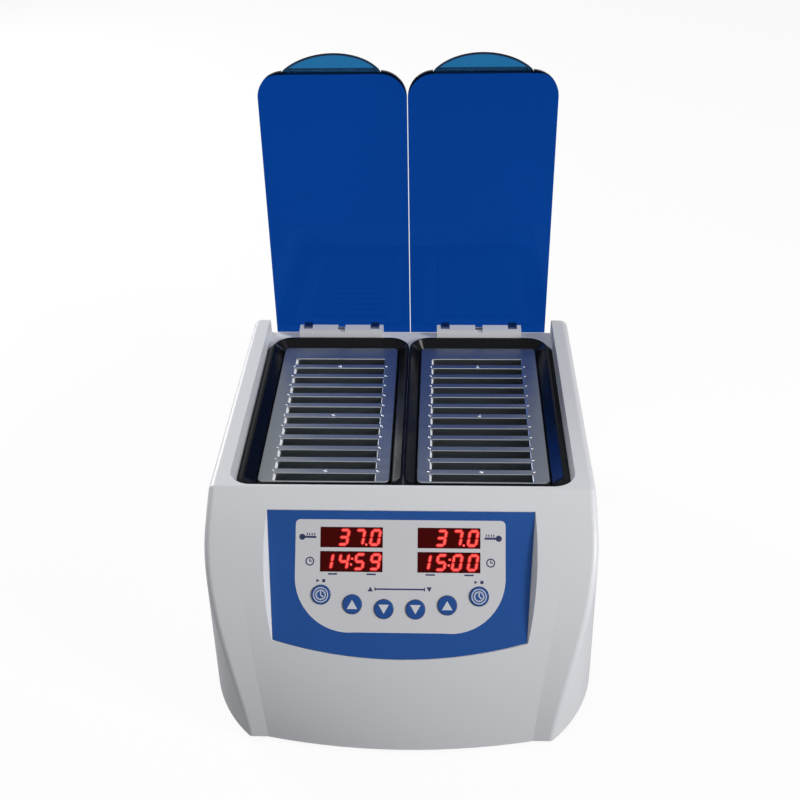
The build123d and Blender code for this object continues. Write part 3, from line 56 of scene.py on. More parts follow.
ahead = Vector((math.sin(YAW) * math.cos(PITCH), math.cos(YAW) * math.cos(PITCH), -math.sin(PITCH)))
level = Vector((math.cos(YAW), -math.sin(YAW), 0.0))
upward = level.cross(ahead)
right = level * math.cos(ROLL) + upward * math.sin(ROLL)
upright = upward * math.cos(ROLL) - level * math.sin(ROLL)
camera_turn = Matrix((right, upright, -ahead)).transposed().to_4x4()
camera_data = bpy.data.cameras.new("photo_camera")
camera_data.lens = LENS
camera_data.sensor_width = SENSOR_WIDTH
camera_data.clip_end = FARTHEST
camera = bpy.data.objects.new("photo_camera", camera_data)
camera.matrix_world = Matrix.Translation(EYE) @ camera_turn
scene.collection.objects.link(camera)
scene.camera = camera

# Studio: a white floor and a white surround, with soft square lamps from the right, from behind on the
# left and from above. The floor keeps the soft shadow. The camera sees the surround as pure white, also
# through glass, and mirror rays see it a little darker.
WHITE = (1.0, 1.0, 1.0, 1.0)
TARGET = Vector((0.0, 0.0, 0.12))
SKY_FILL = 0.18
SKY_MIRROR = 0.30
FLOOR_HALF = 6.0
FLOOR_GREY = (0.40, 0.40, 0.41, 1.0)
FLOOR_ROUGHNESS = 0.9
FLOOR_LIGHT = 1.12
FLOOR_SHARE = 0.82


def area_lamp(name, place, size, power):
    """A square soft lamp at a place, turned so that it looks at the target."""
    data = bpy.data.lights.new(name, "AREA")
    data.shape = "SQUARE"
    data.size = size
    data.energy = power
    lamp = bpy.data.objects.new(name, data)
    lamp.location = place
    lamp.rotation_euler = (TARGET - Vector(place)).to_track_quat("-Z", "Y").to_euler()
    scene.collection.objects.link(lamp)


area_lamp("key_lamp", (1.25, -0.6, 0.75), 0.4, 16.0)
area_lamp("left_lamp", (-1.1, 1.0, 0.65), 0.7, 18.0)
area_lamp("top_lamp", (-0.2, -0.3, 1.6), 0.9, 5.0)


def figured(tree, operation, *values):
    """Result of one Math node on values that are numbers or other nodes' outputs."""
    node = tree.nodes.new("ShaderNodeMath")
    node.operation = operation
    for socket, value in zip(node.inputs, values):
        if isinstance(value, (int, float)):
            socket.default_value = value
        else:
            tree.links.new(value, socket)
    return node.outputs[0]


world = bpy.data.worlds.new("white_surround")
scene.world = world
world.use_nodes = True
sky = world.node_tree
backdrop = sky.nodes["Background"]
backdrop.inputs["Color"].default_value = WHITE
rays = sky.nodes.new("ShaderNodeLightPath").outputs
seen = figured(sky, "MAXIMUM", rays["Is Camera Ray"], rays["Is Transmission Ray"])
mirrored = figured(sky, "MULTIPLY_ADD", rays["Is Glossy Ray"], SKY_MIRROR, SKY_FILL)
sky.links.new(figured(sky, "MAXIMUM", seen, mirrored), backdrop.inputs["Strength"])

floor_mesh = bpy.data.meshes.new("floor")
floor_corners = [(x * FLOOR_HALF, y * FLOOR_HALF, 0) for x, y in ((-1, -1), (1, -1), (1, 1), (-1, 1))]
floor_mesh.from_pydata(floor_corners, [], [(0, 1, 2, 3)])
floor = bpy.data.objects.new("floor", floor_mesh)
scene.collection.objects.link(floor)


def bare_material(name):
    """A new material with its node tree and its shader."""
    material = bpy.data.materials.new(name)
    material.use_nodes = True
    tree = material.node_tree
    return material, tree, tree.nodes["Principled BSDF"]


floor_material, tree, shader = bare_material("pale_floor")
shader.inputs["Base Color"].default_value = FLOOR_GREY
shader.inputs["Roughness"].default_value = FLOOR_ROUGHNESS
lift = tree.nodes.new("ShaderNodeEmission")
lift.inputs["Color"].default_value = WHITE
lift.inputs["Strength"].default_value = FLOOR_LIGHT
blend = tree.nodes.new("ShaderNodeMixShader")
rays = tree.nodes.new("ShaderNodeLightPath").outputs
seen = figured(tree, "MAXIMUM", rays["Is Camera Ray"], rays["Is Transmission Ray"])
tree.links.new(figured(tree, "MULTIPLY", seen, FLOOR_SHARE), blend.inputs["Fac"])
tree.links.new(shader.outputs["BSDF"], blend.inputs[1])
tree.links.new(lift.outputs["Emission"], blend.inputs[2])
tree.links.new(blend.outputs["Shader"], tree.nodes["Material Output"].inputs["Surface"])
floor_mesh.materials.append(floor_material)


# Top housing: one thick white moulding with a fine satin grain, screwed to the base plate from below.
# The same resin makes the two hinge blocks on its rear deck.
CLOUD_DETAIL = 4.0
GRAIN_DETAIL = 2.0


def surface_group():
    """Shader group for a made surface: soft clouds change the colour and gloss, fine grain gives height.

    Colour is the given colour times 1 plus or minus Tone by the clouds, roughness is the given roughness
    plus or minus Spread by the clouds, and height is the fine grain alone.
    """
    group = bpy.data.node_groups.new("made_surface", "ShaderNodeTree")
    for way, sockets in (
            ("INPUT", (("Vector", "Vector"), ("Color", "Color"), ("Tone", "Float"), ("Clouds", "Float"),
                       ("Grain", "Float"), ("Roughness", "Float"), ("Spread", "Float"))),
            ("OUTPUT", (("Color", "Color"), ("Roughness", "Float"), ("Height", "Float")))):
        for name, kind in sockets:
            group.interface.new_socket(name, in_out=way, socket_type="NodeSocket" + kind)
    given = group.nodes.new("NodeGroupInput").outputs
    out = group.nodes.new("NodeGroupOutput").inputs
    noise = {}
    for scale, detail in (("Clouds", CLOUD_DETAIL), ("Grain", GRAIN_DETAIL)):
        texture = group.nodes.new("ShaderNodeTexNoise")
        texture.inputs["Detail"].default_value = detail
        group.links.new(given["Vector"], texture.inputs["Vector"])
        group.links.new(given[scale], texture.inputs["Scale"])
        noise[scale] = texture.outputs["Fac"]
    centred = figured(group, "MULTIPLY_ADD", noise["Clouds"], 2.0, -1.0)
    factor = figured(group, "MULTIPLY_ADD", centred, given["Tone"], 1.0)
    gloss = figured(group, "MULTIPLY_ADD", centred, given["Spread"], given["Roughness"])
    tinted = group.nodes.new("ShaderNodeVectorMath")
    tinted.operation = "SCALE"
    group.links.new(given["Color"], tinted.inputs[0])
    group.links.new(factor, tinted.inputs["Scale"])
    group.links.new(tinted.outputs["Vector"], out["Color"])
    group.links.new(gloss, out["Roughness"])
    group.links.new(noise["Grain"], out["Height"])
    return group


MADE_SURFACE = surface_group()


def made_material(name, colour, roughness, tone=0.03, clouds=14.0, grain=1400.0, spread=0.05,
                  relief=0.00002, stretch=(1.0, 1.0, 1.0), constants=None):
    """A material whose colour, gloss and relief come from the made-surface group.

    The stretch scales the pattern along x, y and z. The constants are set on the shader's own sockets.
    """
    material, tree, shader = bare_material(name)
    place = tree.nodes.new("ShaderNodeTexCoord")
    drawn = tree.nodes.new("ShaderNodeMapping")
    drawn.inputs["Scale"].default_value = stretch
    surface = tree.nodes.new("ShaderNodeGroup")
    surface.node_tree = MADE_SURFACE
    for socket, value in (("Color", (*colour, 1.0)), ("Tone", tone), ("Clouds", clouds), ("Grain", grain),
                          ("Roughness", roughness), ("Spread", spread)):
        surface.inputs[socket].default_value = value
    bump = tree.nodes.new("ShaderNodeBump")
    bump.inputs["Distance"].default_value = relief
    for start, end in ((place.outputs["Object"], drawn.inputs["Vector"]),
                       (drawn.outputs["Vector"], surface.inputs["Vector"]),
                       (surface.outputs["Color"], shader.inputs["Base Color"]),
                       (surface.outputs["Roughness"], shader.inputs["Roughness"]),
                       (surface.outputs["Height"], bump.inputs["Height"]),
                       (bump.outputs["Normal"], shader.inputs["Normal"])):
        tree.links.new(start, end)
    for socket, value in (constants or {}).items():
        shader.inputs[socket].default_value = value
    return material


def dress(material, *names):
    """Puts one material on CAD nodes."""
    for name in names:
        mesh = nodes[name].data
        mesh.materials.clear()
        mesh.materials.append(material)


housing_material = made_material("white_moulding", (0.70, 0.71, 0.74), 0.38, tone=0.012, grain=2600.0,
                                 constants={"Specular IOR Level": 0.45})
dress(housing_material, "top_housing", "left_hinge_block", "right_hinge_block")

# Base plate and rear panel: folded steel sheet under a light grey powder coat.
# The base plate closes the housing from below, and the rear panel carries the inlet and the switch.
coat_material = made_material("grey_powder_coat", (0.50, 0.51, 0.53), 0.55, grain=1800.0, relief=0.00006)
dress(coat_material, "base_plate", "rear_panel")

# Feet: round black rubber under the base plate.
# Each is held by one screw in a deep counterbore.
rubber_material = made_material("foot_rubber", (0.022, 0.022, 0.023), 0.78, tone=0.15, clouds=90.0,
                                grain=1500.0, relief=0.0001)
dress(rubber_material, "rubber_feet")

# Screws, trays and sensors: plated steel with fine drawing lines.
# The screws of the rear panel and the base have domed heads with a cross recess, over plain shanks.
METAL = {"Metallic": 1.0}
zinc_material = made_material("zinc_steel", (0.60, 0.60, 0.62), 0.32, tone=0.10, clouds=60.0, grain=900.0,
                              spread=0.08, stretch=(1.0, 8.0, 1.0), constants=METAL)
dress(zinc_material, "foot_screws", "board_screws", "tray_screws", "left_block_tray", "right_block_tray",
      "hinge_block_screws")
bright_material = made_material("bright_steel", (0.78, 0.78, 0.80), 0.16, tone=0.06, clouds=120.0,
                                grain=1500.0, constants=METAL)
dress(bright_material, "temperature_sensors")

SCREW_HEAD = (0.003, 0.0018)
SCREW_RECESS = 0.0009
SCREW_SHANK = 0.0015
FRONT_SCREW_X = 0.084
DOME_FALL = 0.75
RECESS_HALF = 0.14
RECESS_WALL = 0.04
RECESS_REACH = 0.62
RECESS_END = 0.05
SHARP_ANGLE = math.radians(35)


def ring_faces(rows, count, flip=False):
    """Quads between neighbouring rows of a grid that closes on itself, with count points in each row.

    Point number row * count + step meets the next point of its row and the same two of the next row.
    """
    row, step = np.indices((rows - 1, count))
    here = row * count + step
    beside = row * count + (step + 1) % count
    corners = [here, beside, beside + count, here + count]
    if flip:
        corners = [here, here + count, beside + count, beside]
    return np.stack(corners, 2).reshape(-1, 4).tolist()


def joined(solids):
    """Several closed meshes as one list of points and faces."""
    verts = []
    faces = []
    for points, sides in solids:
        start = len(verts)
        verts.extend(points)
        faces.extend([start + corner for corner in side] for side in sides)
    return verts, faces


def domed_pins(places, outward, head, recess, shank, fine=True):
    """Domed heads on plain shanks, all pointing the same way, with a cross recess where one is asked for.

    The head is a polar grid. Its height is the head height times the root of 1 - 0.75 q^4, with q the
    share of the head radius, less the recess depth where a point lies within 0.14 radii of either middle
    line and inside 62 % of the radius. The recess walls slope over 0.04 radii, and its ends over 0.05. A
    side wall drops from the rim to the seat, and the shank goes on from there.
    """
    radius, height = head
    shank_radius, shank_length = shank
    ring_count, count = (40, 96) if fine else (5, 24)
    turns = np.linspace(0, 2 * np.pi, count, endpoint=False)
    q, angle = np.meshgrid(np.linspace(0.0, 1.0, ring_count + 1)[1:], turns, indexing="ij")
    u = q * np.cos(angle)
    v = q * np.sin(angle)
    line = np.minimum(np.abs(u), np.abs(v))
    cross = np.clip((RECESS_HALF - line) / RECESS_WALL + 0.5, 0, 1)
    cross = cross * np.clip((RECESS_REACH - q) / RECESS_END, 0, 1)
    rise = height * np.sqrt(1 - DOME_FALL * q**4) - recess * cross
    dome = np.stack([u * radius, v * radius, rise], 2).reshape(-1, 3)
    around = np.stack([np.cos(turns), np.sin(turns)], 1)
    steps = ((radius, 0.0), (shank_radius, 0.0), (shank_radius, -shank_length))
    walls = [np.column_stack([around * wide, np.full(count, deep)]) for wide, deep in steps]
    ends = np.array([(0, 0, height - recess), (0, 0, -shank_length)])
    grid = np.concatenate([dome, *walls, ends])
    rows = ring_count + len(steps)
    step = np.arange(count)
    after = (step + 1) % count
    last = (rows - 1) * count
    fans = [np.stack([np.full(count, rows * count), step, after], 1),
            np.stack([np.full(count, rows * count + 1), last + after, last + step], 1)]
    faces = ring_faces(rows, count, flip=True) + np.stack(fans, 1).reshape(-1, 3).tolist()
    out = np.array(outward, float)
    first = np.cross(out, (1.0, 0.0, 0.0))
    second = np.cross(out, first)
    return joined([(np.array(seat, float) + grid[:, :1] * first + grid[:, 1:2] * second + grid[:, 2:] * out,
                    faces) for seat in places])


def add_piece(name, verts, faces, material, body, slot):
    """A mesh piece with one material that rides on a body."""
    mesh = bpy.data.meshes.new(name)
    mesh.from_pydata([tuple(vert) for vert in verts], [], [tuple(face) for face in faces])
    mesh.materials.append(material)
    mesh.validate()
    piece = bpy.data.objects.new(name, mesh)
    scene.collection.objects.link(piece)
    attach(piece, body)
    return piece


def smooth_rounds(piece):
    """Smooth shading, with a sharp line wherever two faces meet at more than the sharp angle."""
    piece.data.shade_smooth()
    piece.data.set_sharp_from_angle(angle=SHARP_ANGLE)


inset, head_height = SCREW_HEAD
low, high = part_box("rear_panel_screws")
seat = high.y - head_height
places = [(x, seat, z) for x in (low.x + inset, high.x - inset) for z in (low.z + inset, high.z - inset)]
verts, faces = domed_pins(places, (0, 1, 0), SCREW_HEAD, SCREW_RECESS, (SCREW_SHANK, seat - low.y))
rear_heads = add_piece("rear_screw_heads", verts, faces, zinc_material, "housing", "plated_steel")
smooth_rounds(rear_heads)
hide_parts("rear_panel_screws")

low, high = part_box("base_screws")
seat = low.z + head_height
places = [(side * (high.x - inset), high.y - inset, seat) for side in (-1, 1)]
places += [(side * FRONT_SCREW_X, low.y + inset, seat) for side in (-1, 1)]
verts, faces = domed_pins(places, (0, 0, -1), SCREW_HEAD, SCREW_RECESS, (SCREW_SHANK, high.z - seat))
base_heads = add_piece("base_screw_heads", verts, faces, zinc_material, "housing", "plated_steel")
smooth_rounds(base_heads)
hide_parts("base_screws")

# Control panel: a blue printed sheet with a satin face, glued into the sunk seat.
# The light key field is a second sheet let into it, and the six keys come through that.
panel_material = made_material("blue_sheet", (0.018, 0.086, 0.325), 0.40, tone=0.04, clouds=30.0,
                               grain=3200.0, relief=0.00001, constants={"Specular IOR Level": 0.2})
dress(panel_material, "control_panel")
field_material = made_material("light_sheet", (0.66, 0.66, 0.69), 0.40, tone=0.015, clouds=30.0,
                               grain=3200.0, relief=0.00001)
dress(field_material, "key_field")
key_material = made_material("blue_key_cap", (0.018, 0.080, 0.300), 0.34, tone=0.05, clouds=140.0,
                             grain=3200.0, relief=0.00001, constants={"Specular IOR Level": 0.25})
KEYS = ("left_clock_key", "left_up_key", "left_down_key", "right_down_key", "right_up_key",
        "right_clock_key")
dress(key_material, *KEYS)

# Well frames: glossy black mouldings clipped into the deck, sloping down to the heated blocks.
# At the frames' round corners, thin wings of the same plastic slope out to the deck and close the rim.
black_material = made_material("black_gloss", (0.0035, 0.0038, 0.0052), 0.18, tone=0.15, clouds=40.0,
                               grain=900.0, relief=0.00003, constants={"Specular IOR Level": 0.18})
dress(black_material, "left_well_frame", "right_well_frame")
FRAME_CORNER = 0.016
FRAME_HEIGHT = 0.0030
WING_WIDTH = 0.0038
WING_EDGE = 0.00015
WING_FRONT_WIDTH = 0.0072
WING_CORNER = 0.0147
CORNER_STEPS = 20


def sloping_strip(inner, outer, low, height, edge):
    """A closed strip with a sloping top between two paths of points (x, y).

    Each section has four corners: the inner point at the low level and at the height above it, and the
    outer point at the edge's thickness and at the low level. Quads join the sections, and one quad closes
    each end.
    """
    count = len(inner)
    levels = (low, low + height, low + edge, low)
    rows = [np.column_stack([path, np.full(count, level)])
            for path, level in zip((inner, inner, outer, outer), levels)]
    ends = [[3, 2, 1, 0], [4 * (count - 1) + corner for corner in range(4)]]
    return np.stack(rows, 1).reshape(-1, 3), ends + ring_faces(count, 4)


# Each front wing follows the corner's quarter turn and the frame's front edge. Its outer path settles
# towards the corner's own start by the square of 1 minus the sine of the turn.
quarter = np.linspace(0.0, math.pi / 2, CORNER_STEPS)
cosine = np.cos(quarter)
sine = np.sin(quarter)
for side, sign in (("left", -1), ("right", 1)):
    low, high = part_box(side + "_well_frame")
    deck = high.z - FRAME_HEIGHT
    outer_x = max(abs(low.x), abs(high.x)) - WING_WIDTH
    far = outer_x - FRAME_CORNER
    near = min(abs(low.x), abs(high.x)) + FRAME_CORNER
    front = low.y + FRAME_CORNER
    rear = high.y - FRAME_CORNER
    wing_front = low.y - WING_FRONT_WIDTH
    middle_x = outer_x + WING_WIDTH - WING_CORNER
    middle_y = wing_front + WING_CORNER
    settle = (front - middle_y) * (1 - sine)**2
    front_inner = np.column_stack([
        np.concatenate([far + FRAME_CORNER * cosine, near - FRAME_CORNER * sine]),
        np.concatenate([front - FRAME_CORNER * sine, front - FRAME_CORNER * cosine])])
    front_outer = np.column_stack([
        np.concatenate([middle_x + WING_CORNER * cosine, near - FRAME_CORNER * sine]),
        np.concatenate([middle_y - WING_CORNER * sine + settle, np.full(CORNER_STEPS, wing_front)])])
    rear_inner = np.column_stack([far + FRAME_CORNER * cosine, rear + FRAME_CORNER * sine])
    rear_outer = np.column_stack([far + (FRAME_CORNER + WING_WIDTH) * cosine, rear + FRAME_CORNER * sine])
    for end, inner, outer in (("front", front_inner, front_outer),
                              ("rear", rear_inner[-2::-1], rear_outer[-2::-1])):
        verts, faces = sloping_strip(inner, outer, deck, FRAME_HEIGHT, WING_EDGE)
        if sign > 0:
            faces = [face[::-1] for face in faces]
        wing = add_piece(side + "_frame_wing_" + end, verts * (sign, 1, 1), faces, black_material,
                         "housing", "black_plastic")
        smooth_rounds(wing)

# Heated blocks: bright milled aluminium with twelve card slots each, on a floor of the same metal.
# The milling runs across the block. Steel pins stand at the ends of the bars, and three bars of each
# block carry a small screw. A black lip closes the frame in front of the block.
block_material = made_material("milled_aluminium", (0.40, 0.43, 0.45), 0.38, tone=0.05, clouds=25.0,
                               grain=500.0, spread=0.06, relief=0.00003, stretch=(0.2, 6.0, 1.0),
                               constants=METAL)
dress(block_material, "left_block_floor", "right_block_floor")
# Painted highlight: the slanted seats at the slot ends, which face right and up, get a near-white non-metal
# colour that stands for the glints the lamp throws there.
slot_end_highlight_material = made_material("painted_slot_end_highlight", (0.86, 0.87, 0.90), 0.45, tone=0.05, clouds=90.0, grain=1500.0)
pin_material = made_material("polished_steel", (0.85, 0.86, 0.88), 0.10, tone=0.06, clouds=200.0,
                             grain=2500.0, spread=0.03, constants=METAL)
BLOCK_FRONT_MARGIN = 0.0010
BAR_COUNT = 11
BAR_WIDTH = 0.0051
BAR_CHAMFER = 0.00035
RAIL_CHAMFER = 0.0005
RAIL_CORNER = 0.0038
RAIL_CORNER_STEPS = 9
FRAME_LIP_GAP = 0.0003
FRAME_LIP_DROP = 0.0004
SLOT_END = (0.0013, 0.0026)
SLANT_ACROSS = 0.6
SLANT_UP = 0.2
PIN_INSET = 0.0018
PIN_HEAD = (0.0010, 0.0007)
BAR_SCREW_HEAD = (0.0013, 0.0007)
BAR_SCREW_RECESS = 0.0005


def bevelled_plate(outline, shift, drop, low, high):
    """A closed plate from three rings of points: the base, a shoulder and the top.

    The base and the shoulder have the outline. The shoulder lies below the top by the drop of each
    point, and the top ring is the outline moved by the shift of each point. Quads join the rings, and
    one flat face closes each end.
    """
    outline = np.asarray(outline, float)
    count = len(outline)
    rings = (np.column_stack([outline, np.full(count, low)]),
             np.column_stack([outline, high - np.asarray(drop, float)]),
             np.column_stack([outline + np.asarray(shift, float), np.full(count, high)]))
    ends = [range(count - 1, -1, -1), range(2 * count, 3 * count)]
    return np.concatenate(rings), ends + ring_faces(3, count)


def side_rail(outer_x, inner_x, y0, y1, slots, low, high, slot_end):
    """A side rail with two round outer corners and a slanted seat at the end of each slot.

    The outline runs down the outer side, round the front corner, along the inner side slot by slot, and
    back round the rear corner. A point's shift is the rail chamfer inward on the outer side, and the
    slot-end run on the inner side where a slot meets the rail.
    """
    inward = 1.0 if inner_x > outer_x else -1.0
    run, drop = slot_end
    corners = []
    for centre_y, first in ((y0 + RAIL_CORNER, math.pi), (y1 - RAIL_CORNER, 0.5 * math.pi)):
        angle = np.linspace(first, first + 0.5 * math.pi, RAIL_CORNER_STEPS)
        reach = np.column_stack([np.cos(angle) * inward, np.sin(angle)])
        centre = np.array((outer_x + RAIL_CORNER * inward, centre_y))
        corners.append(np.column_stack([centre + reach * RAIL_CORNER, -reach * RAIL_CHAMFER,
                                        np.full(RAIL_CORNER_STEPS, RAIL_CHAMFER)]))
    side = [(inner_x, y0, 0.0, RAIL_CHAMFER, RAIL_CHAMFER)]
    for start, stop in slots:
        side += [(inner_x, start, 0.0, 0.0, 0.0), (inner_x, start, -inward * run, 0.0, drop),
                 (inner_x, stop, -inward * run, 0.0, drop), (inner_x, stop, 0.0, 0.0, 0.0)]
    side.append((inner_x, y1, 0.0, -RAIL_CHAMFER, RAIL_CHAMFER))
    rows = np.concatenate([corners[0], side, corners[1]])
    if inward < 0:
        rows = rows[::-1]
    return bevelled_plate(rows[:, :2], rows[:, 2:4], rows[:, 4], low, high)


def cross_rail(x0, x1, y0, y1, low, high, front, rear):
    """A bar across the block: a box whose two long upper edges have a front and a rear chamfer."""
    outline = ((x0, y0), (x1, y0), (x1, y1), (x0, y1))
    return bevelled_plate(outline, ((0, front), (0, front), (0, -rear), (0, -rear)),
                          (front, front, rear, rear), low, high)


pin_places = []
screw_places = []
for side in ("left", "right"):
    low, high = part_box(side + "_block_rails")
    bars_low, bars_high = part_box(side + "_divider_bars")
    pitch = (bars_high.y - bars_low.y - BAR_WIDTH) / (BAR_COUNT - 1)
    gap = pitch - BAR_WIDTH
    starts = [bars_low.y + index * pitch for index in range(BAR_COUNT)]
    across = (bars_low.x, bars_high.x)
    bars = [cross_rail(*across, y, y + BAR_WIDTH, low.z, high.z, BAR_CHAMFER, BAR_CHAMFER) for y in starts]
    verts, faces = joined(bars)
    bar_piece = add_piece(side + "_milled_bars", verts, faces, block_material, "housing", "aluminium")
    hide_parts(side + "_divider_bars")

    edges = [bars_low.y - gap] + [y + BAR_WIDTH for y in starts]
    slots = [(edge, edge + gap) for edge in edges]
    front = slots[0][0] - BLOCK_FRONT_MARGIN
    rails = (
        side_rail(low.x, bars_low.x, front, high.y, slots, low.z, high.z, SLOT_END),
        side_rail(high.x, bars_high.x, front, high.y, slots, low.z, high.z, (RAIL_CHAMFER, RAIL_CHAMFER)),
        cross_rail(*across, front, slots[0][0], low.z, high.z, RAIL_CHAMFER, BAR_CHAMFER),
        cross_rail(*across, slots[-1][1], high.y, low.z, high.z, BAR_CHAMFER, RAIL_CHAMFER),
    )
    verts, faces = joined(rails)
    rail_piece = add_piece(side + "_milled_rails", verts, faces, block_material, "housing", "aluminium")
    # The slanted seats on each block's left rail take the painted highlight as their second material.
    rail_piece.data.materials.append(slot_end_highlight_material)
    for face in rail_piece.data.polygons:
        slanted = face.normal.x > SLANT_ACROSS and face.normal.z > SLANT_UP and face.center.x < bars_low.x
        face.material_index = 1 if slanted and face.center.y > front + RAIL_CHAMFER else 0
    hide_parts(side + "_block_rails")

    lip = cross_rail(low.x, high.x, low.y, front - FRAME_LIP_GAP, low.z, high.z - FRAME_LIP_DROP,
                     RAIL_CHAMFER, RAIL_CHAMFER)
    add_piece(side + "_frame_lip", *lip, black_material, "housing", "black_plastic")
    for y in starts:
        pin_places.append((bars_low.x - PIN_INSET, y + BAR_WIDTH / 2, high.z))
        pin_places.append((bars_high.x + PIN_INSET, y + BAR_WIDTH / 2, high.z))
    for y in (starts[0], starts[BAR_COUNT // 2], starts[-1]):
        screw_places.append(((bars_low.x + bars_high.x) / 2, y + BAR_WIDTH / 2, high.z))

low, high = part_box("bar_pins")
verts, faces = domed_pins(pin_places, (0, 0, 1), PIN_HEAD, 0.0, (PIN_HEAD[0], high.z - low.z), fine=False)
pin_piece = add_piece("bar_end_pins", verts, faces, pin_material, "housing", "steel")
smooth_rounds(pin_piece)
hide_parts("bar_pins")
low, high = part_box("bar_screws")
verts, faces = domed_pins(screw_places, (0, 0, 1), BAR_SCREW_HEAD, BAR_SCREW_RECESS,
                          (BAR_SCREW_HEAD[0], high.z - low.z))
screw_piece = add_piece("bar_screw_heads", verts, faces, pin_material, "housing", "steel")
smooth_rounds(screw_piece)
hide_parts("bar_screws")

# Under the blocks: red silicone heater mats, glued to the undersides of the blocks.
# Stiff foam pads under them keep the heat in.
mat_material = made_material("silicone_mat", (0.42, 0.09, 0.035), 0.6, tone=0.06, clouds=50.0, grain=700.0,
                             relief=0.00008)
dress(mat_material, "heater_mats")
foam_material = made_material("insulation_foam", (0.78, 0.76, 0.70), 0.95, tone=0.08, clouds=300.0,
                              grain=600.0, relief=0.0004)
dress(foam_material, "insulation_pads")

# Dark mouldings: the switches under the keys, the buzzer and the transformer on the boards, the cut-outs
# against the heater mats, and the inlet, fuse drawer and power switch in the rear panel.
dark_material = made_material("dark_moulding", (0.020, 0.021, 0.024), 0.42, tone=0.12, clouds=60.0,
                              grain=1800.0, relief=0.00004)
dress(dark_material, "thermal_cutouts", "tact_switches", "buzzer", "transformer", "mains_inlet",
      "fuse_drawer", "power_switch", "rocker")

# Boards: green lacquered circuit boards on brass spacers, joined by a flat grey cable.
# The contacts of the mains inlet are of the same brass.
board_material = made_material("board_lacquer", (0.012, 0.115, 0.040), 0.25, tone=0.12, clouds=120.0,
                               grain=500.0, relief=0.00004)
dress(board_material, "control_board", "power_board")
brass_material = made_material("turned_brass", (0.72, 0.52, 0.20), 0.28, tone=0.05, clouds=200.0,
                               grain=1500.0, constants=METAL)
dress(brass_material, "board_spacers", "power_board_spacers", "inlet_contacts")
cable_material = made_material("flat_cable", (0.30, 0.31, 0.33), 0.5, tone=0.10, clouds=400.0,
                               grain=800.0, stretch=(4.0, 0.2, 0.2))
dress(cable_material, "ribbon_cable")

# Displays: black LED modules behind dark red windows.
# The windows are thin dark red sheets, let in level with the light field.
dress(dark_material, "left_temperature_display", "left_time_display", "right_temperature_display",
      "right_time_display")
WINDOW_GLOW = {"Specular IOR Level": 0.06, "Emission Color": (0.30, 0.002, 0.001, 1.0),
               "Emission Strength": 0.10}
window_material = made_material("dark_red_window", (0.022, 0.0012, 0.0010), 0.14, tone=0.10, clouds=60.0,
                                grain=2500.0, relief=0.00001, constants=WINDOW_GLOW)
dress(window_material, "display_windows")

# Key marks: light marks pressed on the six blue keys, a clock face on two and a triangle on four.
# Every mark is a thin raised film that lies on the key or the sheet that carries it.
PANEL_SLOPE = math.radians(48.0)
PANEL_SHEET = 0.0008
PANEL_ACROSS = np.array((1.0, 0.0, 0.0))
PANEL_DOWN = np.array((0.0, -math.cos(PANEL_SLOPE), -math.sin(PANEL_SLOPE)))
PANEL_OUT = np.array((0.0, -math.sin(PANEL_SLOPE), math.cos(PANEL_SLOPE)))
panel_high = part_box("control_panel")[1]
PANEL_EDGE = np.array((0.0, panel_high.y - PANEL_SHEET * math.sin(PANEL_SLOPE), panel_high.z))
PANEL_FACE = (PANEL_EDGE, PANEL_ACROSS, PANEL_DOWN, PANEL_OUT)
FILM = 0.00004
KEY_PROUD = 0.0009
KEY_MARK_WIDTH = 0.0068
KEY_MARK_HEIGHT = 0.0058
CLOCK_RING = (0.0043, 0.0049)
DIAL_RING = (0.0029, 0.0034)
DIAL_TICKS = (0.0023, 0.0030)
TICK_STROKE = 0.0007
HAND_STROKE = 0.0008
HAND_TAIL = 0.0003
MINUTE_HAND = 0.0021
HOUR_HAND = (0.0016, 0.0013)


def panel_spot(name):
    """Place of a node's middle on the panel: metres across and metres down the slope."""
    low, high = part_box(name)
    middle = (np.array(low) + np.array(high)) / 2 - PANEL_EDGE
    return float(middle @ PANEL_ACROSS), float(middle @ PANEL_DOWN)


def film(loops, low, high, face=PANEL_FACE):
    """Closed thin solids on a flat face, one for each outline of (across, down) points.

    The face is an origin and its directions across, down and out. Each outline is lifted to two heights:
    the upper copy is the front, the lower copy the back, and quads join them. An outline whose area by
    the shoelace sum is positive runs the wrong way round and is turned.
    """
    origin, across, down, out = face
    solids = []
    for loop in loops:
        flat = np.asarray(loop, float)
        count = len(flat)
        area = np.sum(flat[:, 0] * np.roll(flat[:, 1], -1) - np.roll(flat[:, 0], -1) * flat[:, 1])
        if area > 0:
            flat = flat[::-1]
        base = origin + flat[:, :1] * across + flat[:, 1:] * down
        ends = [range(count), range(2 * count - 1, count - 1, -1)]
        solids.append((np.concatenate([base + out * high, base + out * low]),
                       ends + ring_faces(2, count, flip=True)))
    return joined(solids)


def disc(x, s, radius, count=32):
    """Outline of a round mark."""
    angle = np.linspace(0, 2 * np.pi, count, endpoint=False)
    return np.stack([x + radius * np.cos(angle), s + radius * np.sin(angle)], 1)


def bar(x0, s0, x1, s1, width):
    """Outline of a straight stroke: both ends moved half the width to either side of the line."""
    first = np.array((x0, s0))
    last = np.array((x1, s1))
    along = (last - first) / np.linalg.norm(last - first)
    aside = np.array((-along[1], along[0])) * width / 2
    return np.array((first - aside, last - aside, last + aside, first + aside))


def ring(x, s, inner, outer, parts=24):
    """A ring made of short wedge outlines that meet edge to edge."""
    edges = np.linspace(0, 2 * np.pi, parts + 1)
    loops = []
    for first, last in zip(edges[:-1], edges[1:]):
        turns = np.array((first, last, last, first))
        reach = np.array((outer, outer, inner, inner))
        loops.append(np.stack([x + reach * np.cos(turns), s + reach * np.sin(turns)], 1))
    return loops


def triangle(x, s, width, height, point_up):
    """Outline of a triangle whose tip points up or down the slope."""
    tip = -height / 2 if point_up else height / 2
    return np.array(((x - width / 2, s - tip), (x, s + tip), (x + width / 2, s - tip)))


